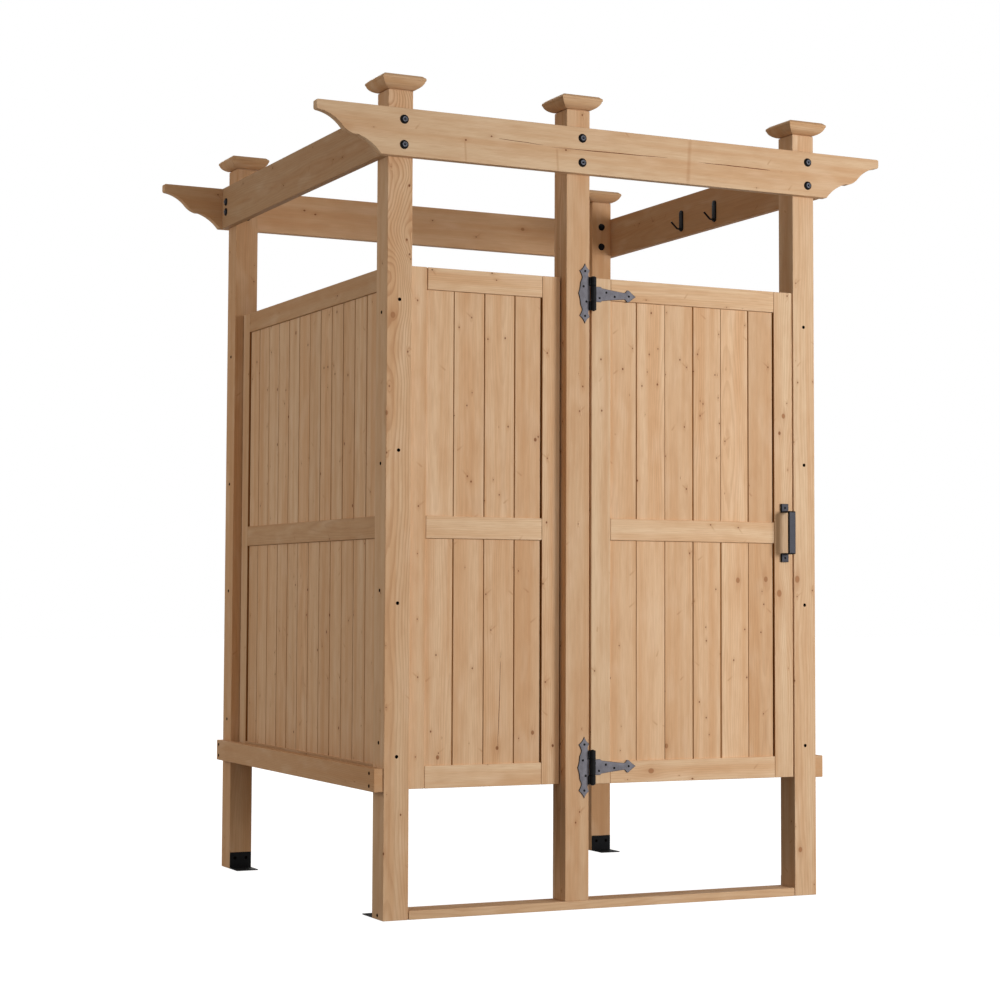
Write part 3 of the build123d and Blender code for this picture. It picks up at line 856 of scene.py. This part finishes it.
def board_panel(panel, along):
    """Upright boards with a V between each two, on both faces, and a tongue that closes each joint."""
    node = f"{panel}_boards"
    wood = Timbers(node)
    u = axis_index(along)
    across = 1 - u
    pitch = BOARD_PITCH[panel]
    for tier, (low, high) in enumerate(solid_boxes(node)):
        for corner in (low, high):
            corner[across] += OUTWARD[panel] * BOARD_STEP
        count = round((high[u] - low[u]) / pitch)
        middle = (low[u] + high[u]) / 2
        joints = [middle + pitch * (i - (count - 2) / 2) for i in range(count - 1)] + [high[u]]
        gaps = list(BOARD_GAPS[panel][tier]) if panel in BOARD_GAPS else [
            wood.chance.choice(SIDE_GAPS) for _ in joints[1:]]
        gaps += [2 * END_GAPS.get(panel, END_GAP)]
        start_at, slope_at = low[u], 0.0
        top = high.z
        high.z -= TOP_GAP
        for i, (joint, gap) in enumerate(zip(joints, gaps)):
            start, end = low.copy(), high.copy()
            start[u], end[u] = start_at, joint - gap / 2
            slope = min(BOARD_EDGE, SLOPE_START + SLOPE_GAIN * gap)
            part = bmesh.new()
            add_block(part, start, end, 0)
            for side, offset in ((start[u], slope_at), (end[u], slope)):
                if offset:
                    ease(part, [e for e in part.edges if rises_in_z(e)
                                and all(abs(v.co[u] - side) < WELD for v in e.verts)], offset, 1)
            join(wood.bm, part)
            light, pink = BOARD_TONES.get(node, ((None, None),) * count)[i]
            fresh = wood.mark("z", light, pink, BOARD_PINS)
            # Painted shade on the walls of the V between two boards.
            for side in (start[u], end[u]):
                if side > low[u] + WELD:
                    wood.paint_groove_shade(fresh, u, side)
            start_at, slope_at = joint + gap / 2, slope
        centre = (low[across] + high[across]) / 2
        for joint in joints:
            start, end = low.copy(), high.copy()
            start[u], end[u] = joint - TONGUE_REACH, min(joint + TONGUE_REACH, high[u])
            behind = -OUTWARD[panel] * STRIP_DEPTH if joint == joints[-1] else 0.0
            start[across], end[across] = centre + behind - TONGUE / 2, centre + behind + TONGUE / 2
            add_block(wood.bm, start, end, TONGUE_EDGE, 1)
            # Painted shade: the tongue or strip seen in a joint is coloured dark and warm.
            wood.mark("z", *GROOVE_PAINTED_SHADE, 0.0)
        start, end = low.copy(), high.copy()
        start.z, end.z = high.z - TOP_TONGUE, top
        start[across], end[across] = centre - TONGUE / 2, centre + TONGUE / 2
        add_block(wood.bm, start, end, TONGUE_EDGE, 1)
        # Painted shade: the tongue under the rail is coloured dark and warm.
        wood.mark(along, *GROOVE_PAINTED_SHADE, 0.0)
    return put_on(wood.finish(BOARD_WOOD), body_of(node), "boards", node)


for post in ("front_left", "hinge", "front_right", "back_left", "back_right"):
    squared_timber(f"post_{post}", "z")
    post_cap(f"cap_{post}")
for beam in ("front_beam", "back_beam"):
    scalloped_beam(beam)
for rail in ("left_beam", "right_beam", "left_lower_rail", "right_lower_rail"):
    squared_timber(rail, "y")
squared_timber("bottom_plate", "x")
for panel, run in (("front_panel", "x"), ("back_panel", "x"), ("left_panel", "y"), ("right_panel", "y"),
                   ("door", "x")):
    squared_timber(f"{panel}_stiles", "z")
    squared_timber(f"{panel}_rails", run)
    board_panel(panel, run)


# Ironwork.

HINGE_IRON = 0.003
PLATE_NECK = 0.050
PLATE_CORNER = 0.069
PLATE_SHOULDER = 0.034
BARREL_RADIUS = 0.009
PIN_RADIUS = 0.0035
STRAP_ROOT = 0.047
BARREL_PLAY = 0.0005         # between the strap's barrel and the plate's
PLATE_BARREL_END = 0.051
BORE_PLAY = 0.0003
HINGE_EDGE = 0.0008
HINGE_PIN = [(0.0, -0.0535), (0.0028, -0.0535), (0.0049, -0.0525), (0.0049, -0.0512), (PIN_RADIUS, -0.051),
             (PIN_RADIUS, 0.051), (0.0049, 0.0512), (0.0049, 0.0525), (0.0028, 0.0535), (0.0, 0.0535)]
STRAP_SCREWS = ((0.0256, -0.0111), (0.0491, 0.0071), (0.0783, -0.004), (0.1284, 0.0))
PLATE_SCREWS = ((-0.0168, 0.069), (-0.022, 0.0217), (-0.0125, -0.0247), (-0.0168, -0.069))

# Turned profiles: distances from the axis, and heights along it.
SCREW_HEAD = [(0.0, 0.0005), (0.0008, 0.0005), (0.0012, 0.0012), (0.0026, 0.0011), (0.0036, 0.0004),
              (0.0038, -0.0003)]
WOOD_SCREW_HEAD = [(0.0, 0.0009), (0.0014, 0.0009), (0.0028, 0.0013), (0.0046, 0.0008), (0.0054, 0.0)]
BOLT_HEAD = [(0.0046, 0.0042), (0.005, 0.0062), (0.0076, 0.0059), (0.0086, 0.0047), (0.0116, 0.0034),
             (0.0132, 0.002), (0.0136, 0.0009), (0.0136, 0.0)]
LOW_BOLT_HEAD = [(0.0046, 0.0018), (0.005, 0.0028), (0.0076, 0.0027), (0.0086, 0.0024), (0.0116, 0.0019),
                 (0.0132, 0.0011), (0.0136, 0.0005), (0.0136, 0.0)]
NUT_WASHER = [(0.0, 0.0016), (0.0125, 0.0016), (0.013, 0.001), (0.013, 0.0)]
BOLT_END = [(0.0, 0.0125), (0.0034, 0.0125), (0.004, 0.0119), (0.004, 0.009)]
SOCKET_RADIUS = 0.0032
SOCKET_DEPTH = 0.0015
NUT_HEIGHT = 0.0085
NUT_RADIUS = 0.0098
NUT_RISE = 0.0015
NUT_EDGE = 0.0008
IRON_SHARP_ANGLE = 32
HANDLE_SHARP_ANGLE = 35


def add_bolt(bm, place, axis, profile):
    """A round domed head with a hexagonal socket, whose grey middle is a painted highlight."""
    rim, well = profile[0]
    # Painted highlight: the top of the dome round the socket takes the grey.
    lathe(bm, profile[2:], place, axis, index=0)
    lathe(bm, profile[:3], place, axis, index=1)
    part = bmesh.new()
    outer = bmesh.ops.create_circle(part, cap_ends=False, radius=rim, segments=28)["verts"]
    inner = bmesh.ops.create_circle(part, cap_ends=False, radius=SOCKET_RADIUS, segments=6)["verts"]
    inner_edges = list({e for v in inner for e in v.link_edges})
    bmesh.ops.bridge_loops(part, edges=part.edges[:])
    sunk = bmesh.ops.extrude_edge_only(part, edges=inner_edges)["geom"]
    floor = [g for g in sunk if isinstance(g, bmesh.types.BMVert)]
    bmesh.ops.translate(part, vec=(0, 0, -min(SOCKET_DEPTH, well * 0.5)), verts=floor)
    bmesh.ops.contextual_create(part, geom=floor)
    bmesh.ops.recalc_face_normals(part, faces=part.faces[:])
    for face in part.faces:
        face.material_index = 1 if face.calc_center_median().z > -WELD else 2
    join(bm, part, standing(axis, Vector(place) + Vector(axis) * well))


def add_nut(bm, place, axis):
    """A hexagonal nut on a washer, with the bolt's end in it."""
    lathe(bm, NUT_WASHER, place, axis)
    part = bmesh.new()
    bmesh.ops.create_cone(part, cap_ends=True, cap_tris=False, segments=6, radius1=NUT_RADIUS,
                          radius2=NUT_RADIUS, depth=NUT_HEIGHT)
    bmesh.ops.translate(part, vec=(0, 0, NUT_HEIGHT / 2 + NUT_RISE), verts=part.verts[:])
    ease(part, part.edges[:], NUT_EDGE)
    join(bm, part, standing(axis, place))
    lathe(bm, BOLT_END, place, axis, 16)


def fastener_piece(name, adders, slot="hook_iron"):
    """A piece of many bolts, nuts or screws, each given as the call that adds it."""
    bm = bmesh.new()
    for add in adders:
        add(bm)
    made = make_object(name, bm, [BLACK_IRON, BOLT_PAINTED_HIGHLIGHT, BLACK_SCREW_AND_PAINTED_HOLE_SHADE], IRON_SHARP_ANGLE)
    return put_on(made, "enclosure", slot)


def bolts(places, axis, profile):
    return [lambda bm, p=p: add_bolt(bm, p, axis, profile) for p in places]


def nuts(places, axis):
    return [lambda bm, p=p: add_nut(bm, p, axis) for p in places]


# Screw heads in the black that also stands for the painted shade of their holes.
def screws(places, axis):
    return [lambda bm, p=p: lathe(bm, WOOD_SCREW_HEAD, p, axis, 18, 2) for p in places]


BOLT_RISE = 0.0375           # from the middle of a beam, up and down
SIDE_BOLT_RISE = 0.0175
PLATE_SCREW_HEIGHT = 0.0125
FRONT_SCREW_HEIGHTS = (0.470, 0.914, 1.360, 1.803)
SIDE_SCREW_HEIGHTS = (0.509, 0.951, 1.322, 1.767)
RAIL_SCREW_HEIGHTS = (0.385, 0.4217)


def post_middle(name):
    low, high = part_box(f"post_{name}")
    return (low + high) / 2


front_low, front_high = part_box("front_beam")
back_face_of_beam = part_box("back_beam")[1].y
left_face_of_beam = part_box("left_beam")[0].x
right_face_of_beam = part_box("right_beam")[1].x
beam_middle = (front_low.z + front_high.z) / 2
front_posts = ("front_left", "hinge", "front_right")
back_posts = ("back_left", "back_right")
corner_posts = ("front_left", "front_right", "back_left", "back_right")
rises = (-BOLT_RISE, BOLT_RISE)
side_rises = (-SIDE_BOLT_RISE, SIDE_BOLT_RISE)
post_half = (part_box("post_hinge")[1].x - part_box("post_hinge")[0].x) / 2

for name, posts, outer, way, head in (("front_beam_bolts", front_posts, front_low.y, -1, BOLT_HEAD),
                                      ("back_beam_bolts", back_posts, back_face_of_beam, 1, LOW_BOLT_HEAD)):
    fastener_piece(name,
                   bolts([(post_middle(p).x, outer, beam_middle + r) for p in posts for r in rises],
                         (0, way, 0), head)
                   + nuts([(post_middle(p).x, post_middle(p).y - way * post_half, beam_middle + r)
                           for p in posts for r in rises], (0, -way, 0)))
for side, outer, way in (("left", left_face_of_beam, -1), ("right", right_face_of_beam, 1)):
    ends = (f"front_{side}", f"back_{side}")
    fastener_piece(f"{side}_beam_bolts",
                   bolts([(outer, post_middle(p).y, beam_middle + r) for p in ends for r in side_rises],
                         (way, 0, 0), BOLT_HEAD)
                   + nuts([(post_middle(p).x - way * post_half, post_middle(p).y, beam_middle + r)
                           for p in ends for r in side_rises], (-way, 0, 0)))

front_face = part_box("post_front_left")[0].y
back_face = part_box("post_back_left")[1].y
left_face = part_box("post_front_left")[0].x
right_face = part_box("post_front_right")[1].x
post_screws = []
for name in corner_posts:
    middle = post_middle(name)
    face, way = (front_face, -1) if name.startswith("front") else (back_face, 1)
    post_screws += screws([(middle.x, face, z) for z in FRONT_SCREW_HEIGHTS], (0, way, 0))
    face, way = (left_face, -1) if name.endswith("left") else (right_face, 1)
    heights = SIDE_SCREW_HEIGHTS + ((PLATE_SCREW_HEIGHT,) if name.startswith("front") else ())
    post_screws += screws([(face, middle.y, z) for z in heights], (way, 0, 0))
fastener_piece("post_screws", post_screws)

for side, way in (("left", -1), ("right", 1)):
    low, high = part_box(f"{side}_lower_rail")
    face = low.x if way < 0 else high.x
    runs = (post_middle(f"front_{side}").y, post_middle(f"back_{side}").y)
    fastener_piece(f"{side}_rail_screws",
                   screws([(face, y, z) for y in runs for z in RAIL_SCREW_HEIGHTS], (way, 0, 0)))


def hinge_outline(bm, half):
    """The upper half of a hinge plate's outline, from its straight edge round to its middle."""
    draw(bm, (0.0, 0.0), [
        [(0.0, PLATE_NECK - 0.001)],
        [(-0.004, PLATE_NECK + 0.002), (-0.0055, PLATE_NECK + 0.007)],
        [(-0.0045, PLATE_NECK + 0.013), (0.0, PLATE_CORNER + 0.002)],
        [(-0.0105, PLATE_CORNER + 0.011), (-0.0168, half)],
        [(-0.0235, PLATE_CORNER + 0.011), (-0.0355, PLATE_CORNER)],
        [(-0.030, PLATE_CORNER - 0.009), (-0.0262, PLATE_NECK)],
        [(-0.0285, PLATE_NECK - 0.007), (-0.0325, PLATE_SHOULDER)],
        [(-0.0345, PLATE_SHOULDER / 2), (-0.0395, 0.0)],
    ], steps=5)


def add_iron_shape(bm, outline, place):
    """A flat iron shape facing the front, with softened edges, black sides and a front face in the grey of a
    painted sheen.
    """
    part = bmesh.new()
    outline(part)
    raise_face(part, close_outline(part, "y"), HINGE_IRON)
    ease(part, {e for f in part.faces if f.normal.z > 0.9 for e in f.edges}, HINGE_EDGE)
    # Painted sheen on the front face, black on the sides.
    for face in part.faces:
        face.material_index = 0 if face.normal.z > 0.95 else 1
    join(bm, part, standing((0, -1, 0), place))


def strap_outline(bm, length):
    """The upper half of a strap's outline, from its root out to its tip."""
    draw(bm, (-0.002, 0.0), [
        [(-0.002, STRAP_ROOT / 2)],
        [(0.0285, STRAP_ROOT / 2)],
        [(0.0312, STRAP_ROOT / 2 - 0.0008), (0.0325, STRAP_ROOT / 2 - 0.0035)],
        [(0.072, 0.0147), (0.1135, 0.0102)],
        [(0.1178, 0.0132), (0.122, 0.0184)],
        [(0.1262, 0.0188), (0.1302, 0.0172)],
        [(0.141, 0.0082), (length, 0.0)],
    ], steps=6)


def add_barrel(bm, foot, height):
    """A tube round the pin, with softened ends."""
    bore = PIN_RADIUS + BORE_PLAY
    rim = BARREL_RADIUS - HINGE_EDGE
    profile = [(bore, 0.0), (rim, 0.0), (BARREL_RADIUS, HINGE_EDGE), (BARREL_RADIUS, height - HINGE_EDGE),
               (rim, height), (bore, height), (bore, 0.0)]
    lathe(bm, profile, foot, (0, 0, 1), 32, 1)


def make_hinge(where):
    """A plate with two barrels and the pin, and a strap with the barrel between them."""
    plate = f"{where}_hinge_plate"
    strap = f"{where}_hinge_strap"
    plate_low, plate_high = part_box(plate)
    strap_low, strap_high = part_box(strap)
    middle = (plate_low.z + plate_high.z) / 2
    face = plate_high.y
    axis_x = strap_low.x + BARREL_RADIUS
    axis_y = plate_low.y + BARREL_RADIUS
    post_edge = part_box("post_hinge")[1].x

    bm = bmesh.new()
    half = (plate_high.z - plate_low.z) / 2
    add_iron_shape(bm, lambda part: hinge_outline(part, half), (post_edge, face, middle))
    inner = STRAP_ROOT / 2 + BARREL_PLAY
    for way in (-1, 1):
        low_z, high_z = sorted((middle + way * inner, middle + way * PLATE_BARREL_END))
        add_barrel(bm, (axis_x, axis_y, low_z), high_z - low_z)
        arm = bmesh.new()
        add_block(arm, (post_edge - 0.004, axis_y, low_z + 0.0004),
                  (axis_x - 0.002, face - 0.0002, high_z - 0.0004), HINGE_EDGE)
        join(bm, arm, index=1)
    lathe(bm, HINGE_PIN, (axis_x, axis_y, middle), (0, 0, 1), 20, 1)
    for x, z in PLATE_SCREWS:
        lathe(bm, SCREW_HEAD, (post_edge + x, face - HINGE_IRON, middle + z), (0, -1, 0), 20, 1)
    made = make_object(f"{plate}_iron", bm, [HINGE_PAINTED_SHEEN, BLACK_IRON], IRON_SHARP_ANGLE)
    put_on(made, body_of(plate), "hinge_iron", plate)

    bm = bmesh.new()
    add_iron_shape(bm, lambda part: strap_outline(part, strap_high.x - axis_x), (axis_x, face, middle))
    add_barrel(bm, (axis_x, axis_y, middle - STRAP_ROOT / 2), STRAP_ROOT)
    for x, z in STRAP_SCREWS:
        lathe(bm, SCREW_HEAD, (axis_x + x, face - HINGE_IRON, middle + z), (0, -1, 0), 20, 1)
    made = make_object(f"{strap}_iron", bm, [HINGE_PAINTED_SHEEN, BLACK_IRON], IRON_SHARP_ANGLE)
    put_on(made, body_of(strap), "hinge_iron", strap)


for where in ("top", "bottom"):
    make_hinge(where)

HANDLE_FOOT = 0.026
HANDLE_FOOT_THICKNESS = 0.008
HANDLE_BAR_WIDTH = 0.024
HANDLE_BAR_THICKNESS = 0.009
HANDLE_BAR_LENGTH = 0.136
HANDLE_SPACING = 0.1585
HANDLE_LEG = 0.004
HANDLE_EDGE = 0.0014
HANDLE_FOOT_EDGE = 0.0012
HANDLE_FACE_AREA = 0.0002    # the flat front of the bar or a foot, which takes the painted sheen, is bigger than this


def make_handle():
    """Two square feet with a screw each, and a strip of flat bar bent out from one to the other."""
    low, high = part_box("door_handle")
    x = (low.x + high.x) / 2
    z = (low.z + high.z) / 2
    depth = high.y - low.y
    foot = HANDLE_SPACING / 2
    bar = HANDLE_BAR_LENGTH / 2
    bm = bmesh.new()
    draw(bm, (depth, 0.0), [
        [(depth, bar - 0.004)],
        [(depth - 0.0008, bar - 0.001), (depth - 0.003, bar)],
        [(0.001, bar)],
        [(0.001, bar - HANDLE_LEG)],
        [(depth - HANDLE_BAR_THICKNESS, bar - HANDLE_LEG)],
        [(depth - HANDLE_BAR_THICKNESS, 0.0)],
    ], steps=4)
    raise_face(bm, close_outline(bm, "y"), HANDLE_BAR_WIDTH)
    crisp = [e for e in bm.edges if len(e.link_faces) == 2 and e.calc_face_angle() > math.radians(50)]
    ease(bm, crisp, HANDLE_EDGE, 3)
    # The outline's first axis is the distance from the door, its second the height.
    turn = Matrix(((0, 0, 1, x - HANDLE_BAR_WIDTH / 2), (-1, 0, 0, high.y), (0, 1, 0, z), (0, 0, 0, 1)))
    bmesh.ops.transform(bm, matrix=turn, verts=bm.verts[:])
    bmesh.ops.recalc_face_normals(bm, faces=bm.faces[:])
    half = HANDLE_FOOT / 2
    for way in (-1, 1):
        foot_z = z + way * foot
        block = bmesh.new()
        add_block(block, (x - half, high.y - HANDLE_FOOT_THICKNESS, foot_z - half),
                  (x + half, high.y, foot_z + half), HANDLE_FOOT_EDGE, 3)
        join(bm, block)
        lathe(bm, SCREW_HEAD, (x, high.y - HANDLE_FOOT_THICKNESS, foot_z), (0, -1, 0), 20)
    bm.normal_update()
    # Painted sheen: the large faces towards the front take the dark grey, the rest black.
    for face in bm.faces:
        face.material_index = 1 if face.normal.y < -0.97 and face.calc_area() > HANDLE_FACE_AREA else 0
    made = make_object("door_handle_iron", bm, [BLACK_IRON, HANDLE_PAINTED_SHEEN], HANDLE_SHARP_ANGLE)
    put_on(made, "door", "handle_iron", "door_handle")


make_handle()

HOOK_WIDTH = 0.022
HOOK_IRON = 0.005
HOOK_ROD = 0.0032
HOOK_ROOT = 0.008
HOOK_STRAIGHT = 0.009
HOOK_BEND = 0.012
HOOK_TILT = 43.0
HOOK_TAIL = 0.027
HOOK_EDGE = 0.0012
HOOK_TIP = ((0.92, 0.0011), (0.7, 0.0009))   # how much each of its last steps narrows, and their lengths
HOOK_SINK = 0.001            # how far the rod starts inside the plate


def make_hook(bm, low, high):
    """A slim plate with round ends, and a rod from its foot that turns up and ends in a rounded tip."""
    y = (low.y + high.y) / 2
    half, radius = (high.z - low.z) / 2, HOOK_WIDTH / 2
    plate = bmesh.new()
    draw(plate, (radius, 0.0), [
        [(radius, half - radius)],
        [(0.0, half), (-radius, half - radius)],
        [(-radius, 0.0)],
    ], steps=14)
    raise_face(plate, close_outline(plate, "y"), HOOK_IRON)
    ease(plate, {e for f in plate.faces if f.normal.z > 0.9 for e in f.edges}, HOOK_EDGE, 3)
    stand = Matrix(((0, 0, -1, high.x), (1, 0, 0, y), (0, 1, 0, (low.z + high.z) / 2), (0, 0, 0, 1)))
    bmesh.ops.transform(plate, matrix=stand, verts=plate.verts[:])
    bmesh.ops.recalc_face_normals(plate, faces=plate.faces[:])
    join(bm, plate)

    rod = bmesh.new()
    ring = bmesh.ops.create_circle(rod, cap_ends=True, radius=HOOK_ROD, segments=16)["verts"]
    root = Vector((high.x - HOOK_IRON + HOOK_SINK, y, low.z + HOOK_ROOT))
    lay = Matrix.Translation(root) @ Matrix.Rotation(math.radians(-90), 4, "Y")
    bmesh.ops.transform(rod, matrix=lay, verts=ring)
    face = pull_face(rod, rod.faces[:][0], (-HOOK_STRAIGHT - HOOK_SINK, 0, 0))
    bend_start = face.calc_center_median()
    tilt = math.radians(HOOK_TILT)
    spun = bmesh.ops.spin(rod, geom=[face], cent=bend_start + Vector((0, 0, HOOK_BEND)), axis=(0, 1, 0),
                          dvec=(0, 0, 0), angle=tilt, steps=7, use_merge=False,
                          use_normal_flip=False, use_duplicate=False)
    if face.is_valid:
        bmesh.ops.delete(rod, geom=[face], context="FACES_ONLY")
    face = [g for g in spun["geom_last"] if isinstance(g, bmesh.types.BMFace)][0]
    way = Vector((-math.cos(tilt), 0, math.sin(tilt)))
    face = pull_face(rod, face, way * HOOK_TAIL)
    for share, step in HOOK_TIP:
        face = pull_face(rod, face, way * step)
        centre = face.calc_center_median()
        bmesh.ops.scale(rod, vec=(share, share, share), verts=face.verts[:],
                        space=Matrix.Translation(-centre))
    bmesh.ops.recalc_face_normals(rod, faces=rod.faces[:])
    join(bm, rod)
    lathe(bm, SCREW_HEAD, (high.x - HOOK_IRON, y, high.z - radius), (-1, 0, 0), 20)


hooks = bmesh.new()
for low, high in solid_boxes("robe_hooks"):
    make_hook(hooks, low, high)
put_on(make_object("robe_hooks_iron", hooks, [BLACK_IRON], IRON_SHARP_ANGLE), "enclosure", "hook_iron",
       "robe_hooks")

BRACKET_IRON = 0.003
BRACKET_SCREW_HEIGHT = 0.036
BRACKET_SCREW_REACH = 0.02   # from the middle, each way
bracket_screws = []
for name in corner_posts:
    node = f"bracket_{name}"
    bracket = frame["nodes"][node]
    bracket.data.materials.clear()
    bracket.data.materials.append(BRACKET_BLACK)
    low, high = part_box(node)
    x = (low.x + high.x) / 2
    face, way = (low.y + BRACKET_IRON, 1) if name.startswith("front") else (high.y - BRACKET_IRON, -1)
    bracket_screws += screws([(x + reach, face, BRACKET_SCREW_HEIGHT)
                              for reach in (-BRACKET_SCREW_REACH, BRACKET_SCREW_REACH)], (0, way, 0))
fastener_piece("bracket_screws", bracket_screws, slot="bracket_iron")


# Floor, light and camera.

def white_floor():
    """A white floor that keeps soft shadows, and shows white where nothing shades it."""
    bm = bmesh.new()
    bmesh.ops.create_grid(bm, x_segments=1, y_segments=1, size=FLOOR_REACH)
    finish = Finish("white_floor", Roughness=0.9, Specular_IOR_Level=0.0)
    finish.feed(finish.shader.inputs["Base Color"], FLOOR_GREY)
    ray = finish.node("ShaderNodeLightPath", {}, "Is Camera Ray").node
    seen = finish.highest(ray.outputs["Is Camera Ray"], ray.outputs["Is Glossy Ray"])
    finish.feed(finish.shader.inputs["Emission Color"], WHITE)
    finish.feed(finish.shader.inputs["Emission Strength"], finish.product(seen, FLOOR_GLOW))
    floor = make_object("studio_floor", bm, [finish.material])


def sky():
    """Even light from all round. The camera sees plain white."""
    world = bpy.data.worlds.new("studio")
    bpy.context.scene.world = world
    world.use_nodes = True
    tree = world.node_tree
    background = tree.nodes["Background"]
    ray = tree.nodes.new("ShaderNodeLightPath")
    seen = ray.outputs["Is Camera Ray"]
    for name in ("Is Glossy Ray", "Is Transmission Ray"):
        either = tree.nodes.new("ShaderNodeMath")
        either.operation = "MAXIMUM"
        tree.links.new(seen, either.inputs[0])
        tree.links.new(ray.outputs[name], either.inputs[1])
        seen = either.outputs[0]
    strength = tree.nodes.new("ShaderNodeMix")
    strength.inputs[2].default_value, strength.inputs[3].default_value = EVEN_LIGHT, 1.0
    tint = tree.nodes.new("ShaderNodeMix")
    tint.data_type = "RGBA"
    tint.inputs["A"].default_value, tint.inputs["B"].default_value = EVEN_TINT, WHITE
    for mixer, socket, target in ((strength, strength.outputs[0], "Strength"),
                                  (tint, tint.outputs["Result"], "Color")):
        tree.links.new(seen, mixer.inputs[0])
        tree.links.new(socket, background.inputs[target])


def lamp(name, place, target, size, watts, tint):
    data = bpy.data.lights.new(name, "AREA")
    data.shape = "DISK"
    data.size = size
    data.energy = watts
    data.color = tint
    light = bpy.data.objects.new(name, data)
    light.location = place
    light.rotation_euler = (Vector(target) - Vector(place)).to_track_quat("-Z", "Y").to_euler()
    bpy.context.scene.collection.objects.link(light)


def camera():
    yaw, pitch, roll = (math.radians(a) for a in (CAMERA_YAW, CAMERA_PITCH, CAMERA_ROLL))
    ahead = Vector((math.sin(yaw) * math.cos(pitch), math.cos(yaw) * math.cos(pitch), math.sin(pitch)))
    right = Vector((math.cos(yaw), -math.sin(yaw), 0.0))
    up = right.cross(ahead)
    turned = (right * math.cos(roll) + up * math.sin(roll),
              up * math.cos(roll) - right * math.sin(roll), -ahead)
    data = bpy.data.cameras.new("photo_camera")
    data.sensor_width = SENSOR
    data.lens = FOCAL_PIXELS / PICTURE * SENSOR
    data.shift_x = (PICTURE / 2 - OPTICAL_CENTRE[0]) / PICTURE
    data.shift_y = -(PICTURE / 2 - OPTICAL_CENTRE[1]) / PICTURE
    made = bpy.data.objects.new("photo_camera", data)
    made.matrix_world = Matrix.Translation(CAMERA_PLACE) @ Matrix(turned).transposed().to_4x4()
    bpy.context.scene.collection.objects.link(made)
    bpy.context.scene.camera = made


white_floor()
sky()
lamp("key_light", (2.8, -4.9, 1.75), (0.0, -0.4, 1.2), size=2.0, watts=168, tint=(0.97, 0.99, 1.04))
lamp("front_light", (-0.2, -8.0, 1.3), (0.0, -0.4, 0.9), size=3.0, watts=78, tint=(1.0, 0.97, 0.93))
lamp("left_light", (-3.8, 0.4, 1.6), (0.0, 0.0, 1.0), size=2.0, watts=25, tint=(1.0, 0.97, 0.95))
lamp("back_light", (1.4, 6.0, 4.6), (0.0, 0.4, 1.3), size=3.0, watts=190, tint=(1.0, 0.99, 0.97))
camera()
bpy.context.scene.view_settings.view_transform = "Standard"
